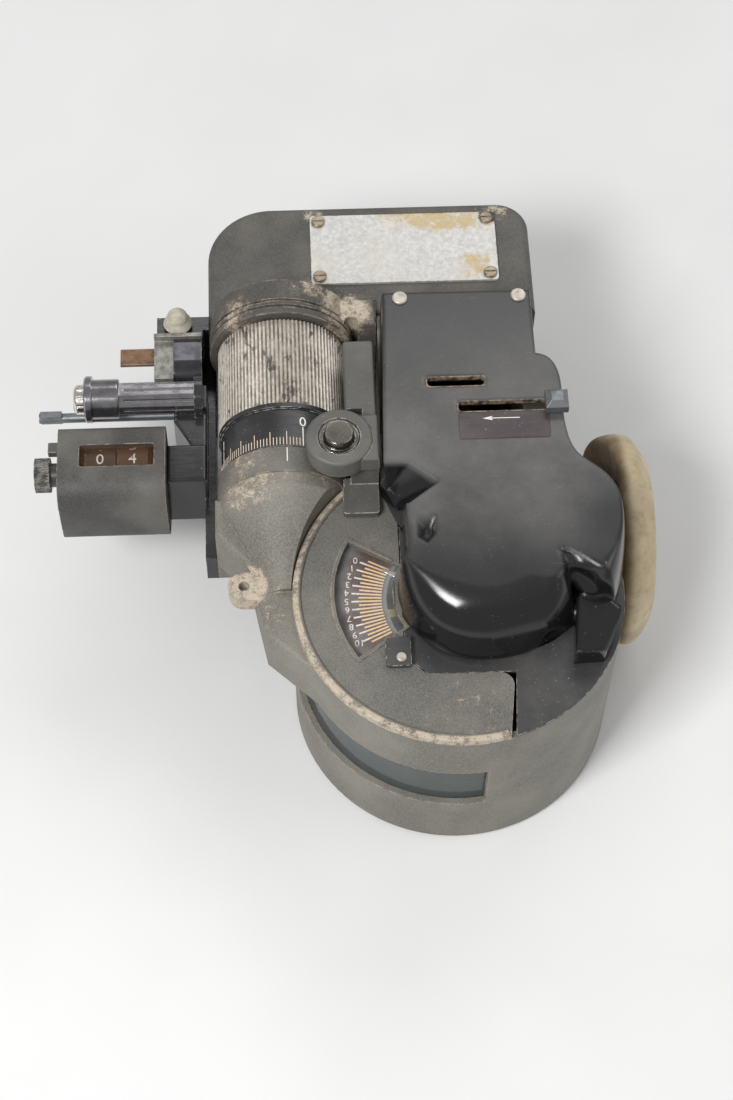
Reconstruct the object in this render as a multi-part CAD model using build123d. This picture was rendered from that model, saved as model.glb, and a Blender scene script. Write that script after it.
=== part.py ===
from build123d import *
import math
import os

# Hand-held bubble sextant, lying on its left side with the index head's face up.
# Millimetres. The Z axis is the index axis and z = 0 is the plane that it rests on.
# In use -Y is up, -X is the line of sight and +X points to the observer's eye.

# Clearances
run_gap = 0.05
seat_gap = 0.02
body_gap = 0.3

# Index head
face_z = 66.0
head_r = 47.6
head_wall = 2.0
floor_t = 3.0
plate_t = 1.7
rim_w = 2.6
rim_h = 0.7
ledge_z = face_z - plate_t
cup_r = head_r - head_wall

# Window in the head's wall, through which the index prism looks out
window_z0 = 24.5
window_z1 = 45.5
window_a0 = 176.0
window_a1 = 278.0
window_glass_t = 1.2

# Optical axis, parallel to X and Y at this height
optic_z = 35.0
eye_y = 34.0

# Index shaft and prism
shaft_r = 4.0
bush_r = 6.0
bush_flange_r = 7.2
bush_flange_t = 0.6
rear_bush_z0 = 5.0
bush_len = 9.0
boss_r = 9.0
front_boss_drop = 0.9
prism_leg = 20.0
prism_t = 19.0
carrier_r = 15.5
carrier_t = 2.6
carrier_web = 3.2
mirror_y = 1.7

# Worm and toothed sector, 180 teeth to the full turn
drum_x = -(head_r + 1.4)
drum_z = 58.5
full_teeth = 180
worm_pitch_r = 4.25
sector_pitch_r = -drum_x - worm_pitch_r
tooth_pitch = 2 * math.pi * sector_pitch_r / full_teeth
tooth_out = 0.42
tooth_in = 0.52
tooth_play = 0.2
sector_t = 3.4
sector_a0 = 122.0
sector_a1 = 193.0
sector_web_a = 8.0
sector_hub_r = 11.0
worm_len = 9.2
worm_bore_r = 2.5

# Pointer, degree scale and its glass
scale_a0 = 146.0
scale_a1 = 219.0
dial_a0 = 150.5
dial_a1 = 214.5
dial_r0 = 19.0
dial_r1 = 35.6
scale_r0 = 17.4
scale_r1 = 38.6
scale_t = 0.8
scale_z = 61.4
pointer_a = 155.0
pointer_r = 23.6
pointer_t = 0.4
pointer_gap = 0.15
glass_t = 1.3
post_r = 1.3

# Altitude drum
drum_r = 19.5
drum_y0 = 59.0
drum_y1 = 89.0
ridge_count = 96
ridge_h = 0.45
drum_wall = 2.6
drum_web = 5.0
band_r = drum_r - 0.8
band_y0 = 44.2
ring_r = drum_r + 0.4
ring_y0 = 35.0
ring_y1 = 43.9
ring_bore_r = 9.0
drum_shaft_r = 4.0
drum_bush_r = 6.5
drum_bush_len = 8.0
worm_half = worm_len / 2
shaft_tip_y = -9.0

# Shoulder and neck of the casting
shoulder_x = drum_x - 20.6
shoulder_edge = [(shoulder_x, 23.0), (drum_x - 10.5, 11.5), (drum_x - 8.6, 1.0), (drum_x - 6.2, -11.0)]
shoulder_end_a = 211.0
shoulder_z0 = 46.0
shoulder_foot_z = 38.0
shoulder_top = 64.0
neck_r = ring_r - 0.3
neck_y = 35.0
worm_pocket_r = 5.2
lug_x = shoulder_x + 3.6
lug_y = 5.5
lug_r = 4.6
lug_t = 6.0
lug_hole_r = 1.6

# Column between head and base
column_x0 = -19.5
column_x1 = 25.5
column_y0 = head_r - 20.0
pocket_x1 = 33.6
pocket_y1 = 64.0
column_z0 = 13.5
column_wall = 2.2
column_y1 = 98.0

# Base housing with the averager clockwork
base_x0 = drum_x - 22.0
base_x1 = 29.5
base_y0 = 98.0
base_y1 = 140.0
base_z1 = 67.5
base_wall = 3.0
base_cover_t = 3.0
base_corner_left = 20.0
base_corner_right = 10.0
base_edge = 2.4
collar_r = drum_r + 2.5
collar_y0 = 89.6
collar_groove = 0.9

# Name plate, left bare, and the small screws
name_x0 = -39.0
name_x1 = 19.0
name_y0 = 109.0
name_y1 = 135.5
name_t = 0.8
screw_head_r = 2.1
screw_head_t = 0.9
screw_shank_r = 1.0
screw_len = 5.0

# Moulded side cover
cover_z1 = 84.0
cover_wall = 2.0
cover_lip = 13.0
cover_y1 = 94.0
cover_left = -18.8
cover_left_low = -21.0
cover_low_y = 34.0
cover_step_z = 73.0
slot_y = 51.6
slot_w = 3.4
slot_x0 = 2.2
slot_x1 = 31.8
small_slot_x0 = -6.5
small_slot_x1 = 10.5
small_slot_y = 60.5
small_slot_w = 3.2
cover_screw_y = 91.0
cover_screw_x = (-13.0, 22.5)
cover_screw_r = 2.3
cover_post_r = 2.6
cover_post_z0 = 50.0
cover_screw_len = 25.0
clip_z0 = face_z + 0.45
clip_z1 = face_z + 1.8
clip_screw = (-17.4, -21.4)
clip_screw_r = 1.5

# Astigmatizer slide
astig_y0 = 50.2
astig_t = 2.8
astig_half = 6.7
astig_lens_r = 5.2
astig_out_x = 24.3
astig_rail_z = 20.5
astig_rail_r = 1.5
astig_stem_w = 2.6
astig_tip_h = 4.2

# Bubble cell, shade wheel
bubble_r = 12.0
bubble_y0 = 66.0
bubble_y1 = 90.0
bubble_glass_r = 8.5
bubble_knob_y = 78.0
bubble_knob_r = 8.0
bubble_knob_z0 = 3.0
shade_r = 15.0
shade_t = 2.8
shade_y0 = 55.8
shade_hole_r = 5.0
shade_ring_r = 8.6
shade_axle_r = 1.6
shade_count = 4
shade_slot_half = 11.6

# Objective and beam splitter
objective_y = 17.0
objective_t = 3.2
objective_r = 10.0
cell_wall = 1.6
splitter_side = 17.0
splitter_t = 1.6
collimator_r = 10.6
collimator_t = 2.2
collimator_y = cup_r + 1.2

# Eyepiece
tube_r = 15.5
tube_wall = 1.6
eye_boss_r = 18.5
eye_boss_x1 = math.sqrt(head_r ** 2 - (eye_y - eye_boss_r) ** 2) + 0.4
tube_flange_t = 1.2
tube_x1 = eye_boss_x1 + tube_flange_t
tube_x0 = tube_x1 - 22.6
ring_x0 = tube_x1 + body_gap
focus_ring_r = 18.0
focus_ring_len = 4.7
focus_ridges = 60
sleeve_len = 4.2
eye_cell_r = 13.6
eye_cell_len = 9.5
eye_cell_x0 = tube_x1 - 6.3
eye_cell_x1 = eye_cell_x0 + eye_cell_len
eye_lens_r = 11.0
eye_lens_t = 6.0
field_lens_t = 5.0
eyecup_neck_r = 15.8
eyecup_wall = 1.8
eyecup_r = 32.3
eyecup_mouth_r = 24.4
eyecup_len = 8.7

# Scale lamp
boss_x = drum_x + 16.2
boss_y = 41.5
boss_lamp_r = 9.7
boss_z0 = 78.9
boss_z1 = 85.6
arm_x0 = drum_x + 18.4
arm_x1 = cover_left_low - body_gap - 0.2
arm_y1 = 79.0
arm_z1 = 80.0
nut_r = 4.6
bulb_r = 2.6
plate_x0 = arm_x0 - 1.4
plate_y0 = 25.5
plate_y1 = 37.5

# Front bracket and counter
web_x0 = shoulder_x - 3.4
web_z0 = 38.0
web_z1 = 50.0
shelf_y0 = 44.0
shelf_y1 = 57.0
shelf_z1 = 60.0
counter_x1 = web_x0 - 11.0
counter_x0 = counter_x1 - 32.0
counter_y0 = 36.0
counter_y1 = 61.0
counter_z0 = 37.0
counter_z1 = 66.0
counter_round = 8.0
counter_rear_round = 3.0
counter_wall = 2.0
counter_axis_y = 50.0
counter_axis_z = counter_z1 - 10.3
counter_win_x0 = counter_x0 + 6.5
counter_win_x1 = counter_x0 + 28.5
counter_win_w = 7.6
wheel_r = 8.3
wheel_len = 9.0
wheel_gap = 0.6
counter_wheels_x0 = counter_x0 + 8.0
counter_spindle_r = 2.0
counter_knob_r = 5.2
counter_knob_x0 = counter_x0 - 7.5
counter_knob_len = 4.6
counter_ridges = 36

# Faceted lamp tube, its knob and the trigger rod
tube_y = 73.0
tube_z = 61.5
facet_r = 4.9
facet_x1 = web_x0
facet_x0 = facet_x1 - 25.2
plain_r = 6.0
plain_x0 = facet_x0 - 8.2
nickel_r = 7.1
nickel_x0 = plain_x0 - 2.2
knob_x0 = nickel_x0 - 3.4
knob_r = 4.6
knob_spindle_r = 1.6
tube_collar_x0 = web_x0 - 2.5
tube_collar_r = facet_r + 1.6
rod_y = tube_y
rod_z = 51.8
rod_r = 1.5
rod_x0 = counter_knob_x0
rod_travel = 4.0
rod_lug_z1 = 59.5

# Lamp housing with flange plate and push button
lamp_x0 = web_x0 - 9.0
lamp_x1 = web_x0 - body_gap
lamp_y0 = 79.2
lamp_y1 = 94.0
lamp_z0 = 44.0
lamp_z1 = 62.0
lamp_round = 7.0
flange_x0 = web_x0 - 14.9
flange_t = 1.3
strip_brass_x0 = web_x0 - 25.5
switch_y1 = 103.0
button_x = web_x0 - 7.6
button_y = 99.7
button_r = 4.4
button_dome_r = 3.3
button_hole_r = 3.3
button_travel = 1.5

# Averager clockwork in the base
arbor_x = -30.0
arbor_y = 119.0
barrel_teeth = 40
wheel_teeth = 12
clock_module = 0.8
barrel_z0 = 20.0
barrel_h = 12.0
clock_gear_t = 2.5
key_r = 12.0
key_t = 4.5
key_z0 = 0.9
arbor_r = 3.0
wheel_arbor_r = 1.6
clock_play = 0.25
clock_plate_t = 2.0
clock_low_z = 14.0

MID = (Align.CENTER, Align.CENTER, Align.MIN)


def cyl_z(r, z0, z1, x=0.0, y=0.0):
    return Pos(x, y, z0) * Cylinder(r, z1 - z0, align=MID)


def cyl_x(r, x0, x1, y, z):
    return Pos(x0, y, z) * Rot(0, 90, 0) * Cylinder(r, x1 - x0, align=MID)


def cyl_y(r, y0, y1, x, z):
    return Pos(x, y0, z) * Rot(-90, 0, 0) * Cylinder(r, y1 - y0, align=MID)


def block(x0, x1, y0, y1, z0, z1):
    size = Box(x1 - x0, y1 - y0, z1 - z0)
    return Pos((x0 + x1) / 2, (y0 + y1) / 2, (z0 + z1) / 2) * size


def polar(r, degrees):
    a = math.radians(degrees)
    return (r * math.cos(a), r * math.sin(a))


def prism_of(points, z0, z1):
    outline = make_face(Polyline(points, close=True))
    return Pos(0, 0, z0) * extrude(outline, z1 - z0)


def sector(r0, r1, a0, a1, z0, z1):
    """A piece of a ring about the index axis, from angle a0 to a1."""
    mid = (a0 + a1) / 2
    outer = ThreePointArc(polar(r1, a0), polar(r1, mid), polar(r1, a1))
    inner = ThreePointArc(polar(r0, a1), polar(r0, mid), polar(r0, a0))
    side_a = Line(polar(r0, a0), polar(r1, a0))
    side_b = Line(polar(r1, a1), polar(r0, a1))
    return Pos(0, 0, z0) * extrude(make_face([side_a, outer, side_b, inner]), z1 - z0)


def edges_at(shape, axis, value, tol=0.01):
    """The edges that lie wholly in the plane where the coordinate has this value."""
    return shape.edges().filter_by_position(axis, value - tol, value + tol)


def rounded_block(x0, x1, y0, y1, z0, z1, r):
    """A block with round upright corners."""
    solid = block(x0, x1, y0, y1, z0, z1)
    return fillet(solid.edges().filter_by(Axis.Z), r)


def ridged_disc(r, depth, count, length):
    """A cylinder on +Z with straight triangular ridges, as knurled by a straight roller."""
    points = []
    for i in range(count):
        points.append(polar(r, 360 * i / count))
        points.append(polar(r - depth, 360 * (i + 0.5) / count))
    return prism_of(points, 0, length)


def casting_outline_shoulder():
    """The shoulder beside the head that holds the worm, seen from above."""
    tangent = polar(head_r, shoulder_end_a)
    inside = [tangent, (-30.0, 0.0), (-22.0, neck_y)]
    return prism_of([(shoulder_x, neck_y)] + shoulder_edge + inside, shoulder_z0, shoulder_top)


def neck():
    """The flared neck in front of the drum, turned about the drum's axis."""
    flare = ThreePointArc((neck_r, neck_y - 4.0), (14.2, 20.0), (7.2, 3.0))
    line_a = Line((0, neck_y), (neck_r, neck_y))
    line_b = Line((neck_r, neck_y), (neck_r, neck_y - 4.0))
    line_c = Line((7.2, 3.0), (0, 3.0))
    line_d = Line((0, 3.0), (0, neck_y))
    profile = make_face([line_a, line_b, flare, line_c, line_d])
    return Pos(drum_x, 0, drum_z) * revolve(profile, Axis.Y)


def main_casting():
    """Head cup, shoulder, neck, column and eyepiece boss in one casting."""
    outside = cyl_z(head_r, 0, ledge_z)
    outside = fillet(edges_at(outside, Axis.Z, 0), 2.0)
    shoulder = casting_outline_shoulder()
    shoulder = fillet(edges_at(shoulder, Axis.Z, shoulder_top), 1.6)
    foot = block(shoulder_x, drum_x + 5.0, 23.0, neck_y, shoulder_foot_z, shoulder_z0 + 1)
    column = rounded_block(column_x0, column_x1, column_y0, column_y1, column_z0, face_z, 0.8)
    pocket = rounded_block(0, pocket_x1, column_y0, pocket_y1, column_z0, face_z, 1.5)
    eye_boss = cyl_x(eye_boss_r, 20, eye_boss_x1, eye_y, optic_z)
    lug_z0 = shoulder_top - lug_t
    lug_z1 = shoulder_top - 0.6
    lug = cyl_z(lug_r, lug_z0, lug_z1, lug_x + lug_r, lug_y)
    lug_arm = block(lug_x + lug_r, drum_x - 3.0, lug_y - lug_r, lug_y + lug_r, lug_z0, lug_z1)
    body = outside + shoulder + foot + neck() + column + pocket + eye_boss + lug + lug_arm

    body -= cyl_z(head_r + body_gap, ledge_z, cover_z1)
    body -= cyl_z(cup_r, floor_t, face_z)
    body += cyl_z(boss_r, floor_t - 0.5, rear_bush_z0 + bush_len)
    body -= cyl_z(bush_r + seat_gap, rear_bush_z0, rear_bush_z0 + bush_len + 1)
    body -= sector(cup_r - 1, head_r + 2, window_a0, window_a1, window_z0, window_z1)
    body -= column_space()
    body -= cyl_y(collimator_r + seat_gap, cup_r - 5, cup_r + 5, 0, optic_z)
    body -= cyl_x(tube_r + seat_gap, 20, eye_boss_x1 + 1, eye_y, optic_z)
    body -= drum_bore()
    body -= cyl_y(ring_r + 0.15, ring_y0, column_y1, drum_x, drum_z)
    body -= cyl_z(lug_hole_r, shoulder_top - lug_t - 1, shoulder_top, lug_x + lug_r, lug_y)
    slot_half = shade_slot_half
    body -= block(
        -slot_half, slot_half, shade_y0 - 0.8, shade_y0 + shade_t + 0.8, column_z0 - 1, column_z0 + 4,
    )
    body -= cyl_z(2.6, column_z0 - 1, column_z0 + 4, 0, bubble_knob_y)
    for x in cover_screw_x:
        body += cyl_z(cover_post_r, cover_post_z0, face_z, x, cover_screw_y)
        body -= cyl_z(screw_shank_r, cover_z1 - cover_screw_len, face_z + 1, x, cover_screw_y)
    return body


def column_space():
    """The space inside the column, open towards the side cover."""
    floor = column_z0 + 2.5
    wall = column_wall
    front_y0 = head_r + 0.4
    front = block(column_x0 + wall, pocket_x1 - wall, front_y0, pocket_y1 - wall, floor, face_z + 1)
    rear_y1 = column_y1 - 5.5
    rear = block(column_x0 + wall, column_x1 - wall, front_y0 + 2, rear_y1, floor, face_z + 1)
    return front + rear


def drum_bore():
    """Bores for the worm, the shaft and the front bush, along the drum's axis."""
    pocket_end = worm_half + 1.5
    worm_space = cyl_y(worm_pocket_r, -worm_half - 0.6, pocket_end, drum_x, drum_z)
    tip = cyl_y(worm_bore_r + run_gap, shaft_tip_y - 0.6, 0, drum_x, drum_z)
    through = cyl_y(drum_shaft_r + 0.6, pocket_end - 1, neck_y + 1, drum_x, drum_z)
    seat = cyl_y(drum_bush_r + seat_gap, neck_y - drum_bush_len, neck_y + 1, drum_x, drum_z)
    return worm_space + tip + through + seat


def side_plate_outline():
    """The worn plate on the left and bottom of the head's face, seen from above."""
    corner = (14.4, -26.0)
    start = polar(head_r, -75.5)
    end = polar(head_r, 113.5)
    arc = ThreePointArc(start, polar(head_r, -160), end)
    points = [end, (-16.5, 30.0), (-16.5, -20.0), (-10.5, -26.0), corner, start]
    lines = [Line(points[i], points[i + 1]) for i in range(len(points) - 1)]
    return make_face([arc] + lines)


def side_plate():
    plate = Pos(0, 0, ledge_z) * extrude(side_plate_outline(), plate_t)
    corner = plate.edges().filter_by(Axis.Z).sort_by_distance((14.4, -26.0, face_z))[0]
    plate = fillet(corner, 4.0)
    rim = sector(head_r - rim_w, head_r, 114.0, 284.0, face_z - 0.5, face_z + rim_h)
    rim = fillet(edges_at(rim, Axis.Z, face_z + rim_h).filter_by(GeomType.CIRCLE), 0.6)
    frame = sector(dial_r0 - 1.0, dial_r1 + 1.0, dial_a0 - 2, dial_a1 + 2, face_z - 0.5, face_z + 0.4)
    opening = sector(dial_r0, dial_r1, dial_a0, dial_a1, ledge_z - 1, face_z + 2)
    plate = plate + rim + frame - opening
    plate -= block(-dial_r0 + 0.5, 40, -40, 60, face_z, face_z + 2)
    plate -= block(cover_left_low - body_gap, 0, cover_low_y, 60, face_z, face_z + 2)
    plate -= cyl_y(ring_r + 0.15, ring_y0, column_y1, drum_x, drum_z)
    for post in scale_posts(ledge_z - 1, face_z + 2, post_r + seat_gap):
        plate -= post
    return plate


def scale_posts(z0, z1, r):
    mid_r = (dial_r0 + dial_r1) / 2
    posts = []
    for a in (dial_a0 - 6.0, dial_a1 + 6.0):
        x, y = polar(mid_r + 1.5, a)
        posts.append(cyl_z(r, z0, z1, x, y))
    return posts


def bearing_plate():
    """Smooth black plate on the right of the head's face. It carries the front bush."""
    ring = cyl_z(head_r, ledge_z, ledge_z + plate_t - 0.5)
    gap = body_gap
    points = [
        (-16.5 + gap, 60), (-16.5 + gap, -20.0 + gap), (-10.5 + gap, -26.0 + gap),
        (14.4 + gap, -26.0 + gap), (polar(head_r, -75.5)[0] + gap + 0.2, -60), (60, -60), (60, 60),
    ]
    keep = prism_of(points, ledge_z - 1, face_z + 1)
    plate = ring & keep
    plate -= block(-60, 60, 44.2, 60, ledge_z - 1, face_z + 1)
    boss = cyl_z(boss_r, ledge_z - front_boss_drop, face_z)
    leg = block(-16.0, -14.6, -18.8, -14.8, ledge_z + 0.5, clip_z1)
    clip = rounded_block(-21.8, -14.6, -24.0, -14.8, clip_z0, clip_z1, 1.0)
    clip -= cyl_z(screw_shank_r, face_z, clip_z1 + 1, *clip_screw)
    plate = plate + boss + leg + clip
    return plate - cyl_z(bush_r + seat_gap, ledge_z - 3, face_z + 1)


def dial_glass():
    z1 = ledge_z - seat_gap
    glass = sector(dial_r0 - 1.0, dial_r1 + 1.2, dial_a0 - 2.4, dial_a1 + 2.4, z1 - glass_t, z1)
    return glass


def degree_scale():
    """Fixed scale plate under the glass, hung from two posts that are riveted in the side plate."""
    plate = sector(scale_r0 + 3.2, scale_r1, scale_a0 - 5, scale_a1 + 5, scale_z, scale_z + scale_t)
    for post in scale_posts(scale_z, face_z + 0.15, post_r):
        plate += post
    return plate


def window_glass():
    z0 = window_z0 - 2.5
    z1 = window_z1 + 2.5
    r1 = cup_r - seat_gap
    return sector(r1 - window_glass_t, r1, window_a0 - 3, window_a1 + 3, z0, z1)


def bearing_bushes():
    """Two flanged bushes of the index shaft and two plain ones of the drum's shaft."""
    rear = cyl_z(bush_r, rear_bush_z0, rear_bush_z0 + bush_len)
    rear += cyl_z(bush_flange_r, rear_bush_z0 + bush_len, rear_bush_z0 + bush_len + bush_flange_t)
    front = cyl_z(bush_r, ledge_z - front_boss_drop, face_z)
    front += cyl_z(bush_flange_r, face_z, face_z + bush_flange_t)
    hole = cyl_z(shaft_r + run_gap, 0, cover_z1)
    bushes = (rear - hole).solids() + (front - hole).solids()
    for y0 in (neck_y - drum_bush_len, base_y0 - drum_bush_len):
        tube = cyl_y(drum_bush_r, y0, y0 + drum_bush_len, drum_x, drum_z)
        tube -= cyl_y(drum_shaft_r + run_gap, y0 - 1, y0 + drum_bush_len + 1, drum_x, drum_z)
        bushes += tube.solids()
    return Compound(bushes)


def prism_carrier():
    """Fork with two round cheeks, a web behind the prism, and a stub shaft on each side."""
    low = optic_z - prism_t / 2
    high = optic_z + prism_t / 2
    cheeks = cyl_z(carrier_r, low - carrier_t, low) + cyl_z(carrier_r, high, high + carrier_t)
    face = mirror_y - run_gap
    web = Rot(0, 0, 45) * block(-10.5, 10.5, face - carrier_web, face, low - 0.5, high + 0.5)
    stub = cyl_z(shaft_r, rear_bush_z0 + 1.0, low - carrier_t + 0.5)
    shaft = cyl_z(shaft_r, high + carrier_t - 0.5, face_z + 1.4)
    return cheeks + web + stub + shaft


def index_prism():
    """Right-angled prism. Its long face is the mirror at 45 degrees to the line of sight."""
    half = prism_leg / 2
    points = [(-half, half), (-half, -half), (half, half)]
    solid = prism_of(points, optic_z - prism_t / 2 + seat_gap, optic_z + prism_t / 2 - seat_gap)
    solid = chamfer(solid.edges().filter_by(Axis.Z), 0.4)
    shift = mirror_y / math.sqrt(2)
    return Pos(-shift, shift, 0) * solid


def worm_sector():
    """Toothed sector of the index shaft, with a hub and two spokes."""
    z0 = drum_z - sector_t / 2
    z1 = drum_z + sector_t / 2
    root_r = sector_pitch_r - tooth_in
    rim = sector(root_r - 3.6, root_r, sector_a0, sector_a1, z0, z1)
    spokes = sector(sector_hub_r - 2, root_r - 2, sector_a0, sector_a0 + sector_web_a, z0, z1)
    spokes += sector(sector_hub_r - 2, root_r - 2, sector_a1 - sector_web_a, sector_a1, z0, z1)
    body = rim + spokes + cyl_z(sector_hub_r, z0, z1)
    step = 360 / full_teeth
    first = math.ceil((sector_a0 - 180) / step) + 1
    last = math.floor((sector_a1 - 180) / step) - 1
    for i in range(first, last + 1):
        body += gear_tooth(sector_pitch_r, tooth_pitch, 180 + (i + 0.5) * step, z0, z1)
    return body - cyl_z(shaft_r + seat_gap, z0 - 1, z1 + 1)


def gear_tooth(pitch_r, pitch, degrees, z0, z1):
    """A straight-sided tooth at this angle, thinner than its half pitch by the play."""
    half = pitch / 4 - tooth_play / 2
    slope = math.tan(math.radians(20))
    r0 = pitch_r - tooth_in - 0.15
    r1 = pitch_r + tooth_out
    w0 = half + (pitch_r - r0) * slope
    w1 = half - tooth_out * slope
    points = [(r0, -w0), (r1, -w1), (r1, w1), (r0, w0)]
    return Rot(0, 0, degrees) * prism_of(points, z0, z1)


def index_pointer():
    """Thin pointer over the degree scale, on a hub that is pinned to the index shaft."""
    z0 = scale_z + scale_t + pointer_gap
    arm = prism_of([(0, -2.2), (pointer_r, -0.5), (pointer_r, 0.5), (0, 2.2)], z0, z0 + pointer_t)
    hub = cyl_z(6.2, drum_z + sector_t / 2, z0 + pointer_t)
    return Rot(0, 0, pointer_a) * arm + hub - cyl_z(shaft_r + seat_gap, z0 - 5, z0 + 3)


def worm():
    """Right-handed worm of one start, in mesh with the sector at rest."""
    core_r = worm_pitch_r - tooth_in
    core = cyl_y(core_r, -worm_half, worm_half, 0, 0)
    half = tooth_pitch / 4 - tooth_play / 2
    slope = math.tan(math.radians(20))
    r0 = core_r - 0.12
    r1 = worm_pitch_r + tooth_out
    w0 = half + (worm_pitch_r - r0) * slope
    w1 = half - tooth_out * slope
    turns_len = worm_len - 2.2
    path = Helix(tooth_pitch, turns_len, (r0 + r1) / 2)
    mid = (r0 + r1) / 2
    points = [(r0 - mid, -w0), (r1 - mid, -w1), (r1 - mid, w1), (r0 - mid, w0)]
    start = path @ 0
    section = Plane(origin=start, x_dir=(1, 0, 0), z_dir=(0, 1, 0)) * make_face(Polyline(points, close=True))
    thread = sweep(section, path=path, is_frenet=True)
    thread = Rot(-90, 0, 0) * Pos(0, 0, -turns_len / 2) * thread
    turn = 180 + 360 * (turns_len / 2) / tooth_pitch
    body = core + Rot(0, turn, 0) * thread
    body -= cyl_y(worm_bore_r + seat_gap, -worm_len, worm_len, 0, 0)
    return Pos(drum_x, 0, drum_z) * body


def drum_shaft():
    front = cyl_y(worm_bore_r, shaft_tip_y, worm_half + 2.0, drum_x, drum_z)
    rear = cyl_y(drum_shaft_r, worm_half + 2.0, base_y0 - 0.5, drum_x, drum_z)
    return front + rear


def drum_grip():
    """Knurled grip of the altitude drum, with its hollow towards the base."""
    length = drum_y1 - drum_y0
    outer = ridged_disc(drum_r, ridge_h, ridge_count, length)
    hollow = Cylinder(drum_r - ridge_h - drum_wall, length, align=MID)
    hub = Cylinder(8.0, length, align=MID)
    outer -= Pos(0, 0, drum_web) * (hollow - hub)
    outer -= Cylinder(drum_shaft_r + seat_gap, length * 3)
    return Pos(drum_x, drum_y0, drum_z) * Rot(-90, 0, 0) * outer


def altitude_scale():
    """Black scale band of the drum, in front of the grip."""
    band = cyl_y(band_r, band_y0, drum_y0, drum_x, drum_z)
    lip = cyl_y(drum_r, drum_y0 - 1.6, drum_y0, drum_x, drum_z)
    hollow = cyl_y(band_r - drum_wall, band_y0 - 1, drum_y0 - 5.0, drum_x, drum_z)
    hollow -= cyl_y(8.0, band_y0 - 2, drum_y0, drum_x, drum_z)
    return band + lip - hollow - cyl_y(drum_shaft_r + seat_gap, 0, 100, drum_x, drum_z)


def index_ring():
    """Fixed ring between the neck and the scale band. It carries the drum's index line."""
    ring = cyl_y(ring_r, ring_y0, ring_y1, drum_x, drum_z)
    ring = chamfer(edges_at(ring, Axis.Y, ring_y1).filter_by(GeomType.CIRCLE), 0.8)
    return ring - cyl_y(ring_bore_r, ring_y0 - 1, ring_y1 + 1, drum_x, drum_z)


def base_outline(inset):
    """The base seen from above: two large corners at the far side."""
    x0 = base_x0 + inset
    x1 = base_x1 - inset
    y0 = base_y0 + inset
    y1 = base_y1 - inset
    r_left = base_corner_left - inset
    r_right = base_corner_right - inset
    r_front = 3.0
    face = Pos((x0 + x1) / 2, (y0 + y1) / 2, 0) * Rectangle(x1 - x0, y1 - y0)
    corners = face.vertices()
    face = fillet(corners.sort_by_distance((x0, y1, 0))[0], r_left)
    face = fillet(face.vertices().sort_by_distance((x1, y1, 0))[0], r_right)
    return fillet(face.vertices().sort_by_distance((x0, y0, 0))[0], r_front)


def base_housing():
    outer = Pos(0, 0, base_cover_t) * extrude(base_outline(0), base_z1 - base_cover_t)
    outer = fillet(edges_at(outer, Axis.Z, base_z1), base_edge)
    inner = extrude(base_outline(base_wall), base_z1 - base_wall)
    collar = cyl_y(collar_r, collar_y0, base_y0 + 4, drum_x, drum_z)
    for y in (collar_y0 + 2.2, collar_y0 + 4.4):
        groove = cyl_y(collar_r + 1, y, y + collar_groove, drum_x, drum_z)
        collar -= groove - cyl_y(collar_r - collar_groove, y - 1, y + 2, drum_x, drum_z)
    saddle_z1 = base_z1 + 3.0
    saddle = block(drum_x + 9.0, column_x0 - body_gap, base_y0 - 5.5, base_y0 + 4, column_z0 + 22, saddle_z1)
    saddle = fillet(edges_at(saddle, Axis.Z, saddle_z1), 2.0)
    saddle -= cyl_z(2.2, column_z0, cover_z1, drum_x + 21.5, base_y0 - 5.5)
    housing = outer + collar + saddle - inner
    housing -= cyl_y(drum_r + body_gap + 0.3, 0, drum_y1 + 0.7, drum_x, drum_z)
    housing -= cyl_y(drum_bush_r + seat_gap, base_y0 - drum_bush_len, base_y0 + 1, drum_x, drum_z)
    housing -= cyl_y(drum_shaft_r + 0.6, collar_y0 - 1, base_y0 + 10, drum_x, drum_z)
    for x, y in name_screw_places():
        housing -= cyl_z(screw_shank_r + seat_gap, base_z1 - 4.6, base_z1 + 1, x, y)
    for x, y in cover_screw_places():
        housing += cyl_z(3.2, base_cover_t, 16, x, y) & outer
        housing -= cyl_z(screw_shank_r + seat_gap, base_cover_t - 1, base_cover_t + 6, x, y)
    return housing


def name_screw_places():
    inset = 2.6
    xs = (name_x0 + inset, name_x1 - inset)
    ys = (name_y0 + inset, name_y1 - inset)
    return [(x, y) for x in xs for y in ys]


def cover_screw_places():
    inset = base_wall + 2.2
    return [
        (base_x0 + inset, base_y0 + inset),
        (base_x1 - inset, base_y0 + inset),
        (base_x0 + 8.6, base_y1 - 8.6),
        (base_x1 - 5.6, base_y1 - 5.6),
    ]


def base_cover():
    cover = extrude(base_outline(0), base_cover_t - seat_gap)
    cover -= cyl_z(key_r + 0.6, -1, base_cover_t + 1, arbor_x, arbor_y)
    for x, y in cover_screw_places():
        cover -= cyl_z(screw_head_r + 0.2, -1, screw_head_t + 0.3, x, y)
        cover -= cyl_z(screw_shank_r + seat_gap, -1, base_cover_t + 1, x, y)
    return cover


def name_plate():
    z0 = base_z1
    plate = rounded_block(name_x0, name_x1, name_y0, name_y1, z0, z0 + name_t, 1.2)
    for x, y in name_screw_places():
        plate -= cyl_z(screw_shank_r + seat_gap, z0 - 1, z0 + 2, x, y)
    return plate


def screw_up(x, y, seat_z):
    """A small slotted screw with its head on top, seated at this height."""
    head = cyl_z(screw_head_r, seat_z, seat_z + screw_head_t, x, y)
    head = fillet(edges_at(head, Axis.Z, seat_z + screw_head_t), 0.4)
    slot = block(x - 3, x + 3, y - 0.25, y + 0.25, seat_z + 0.45, seat_z + 2)
    shank = cyl_z(screw_shank_r, seat_z - screw_len + 0.6, seat_z, x, y)
    return head + shank - slot


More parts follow.
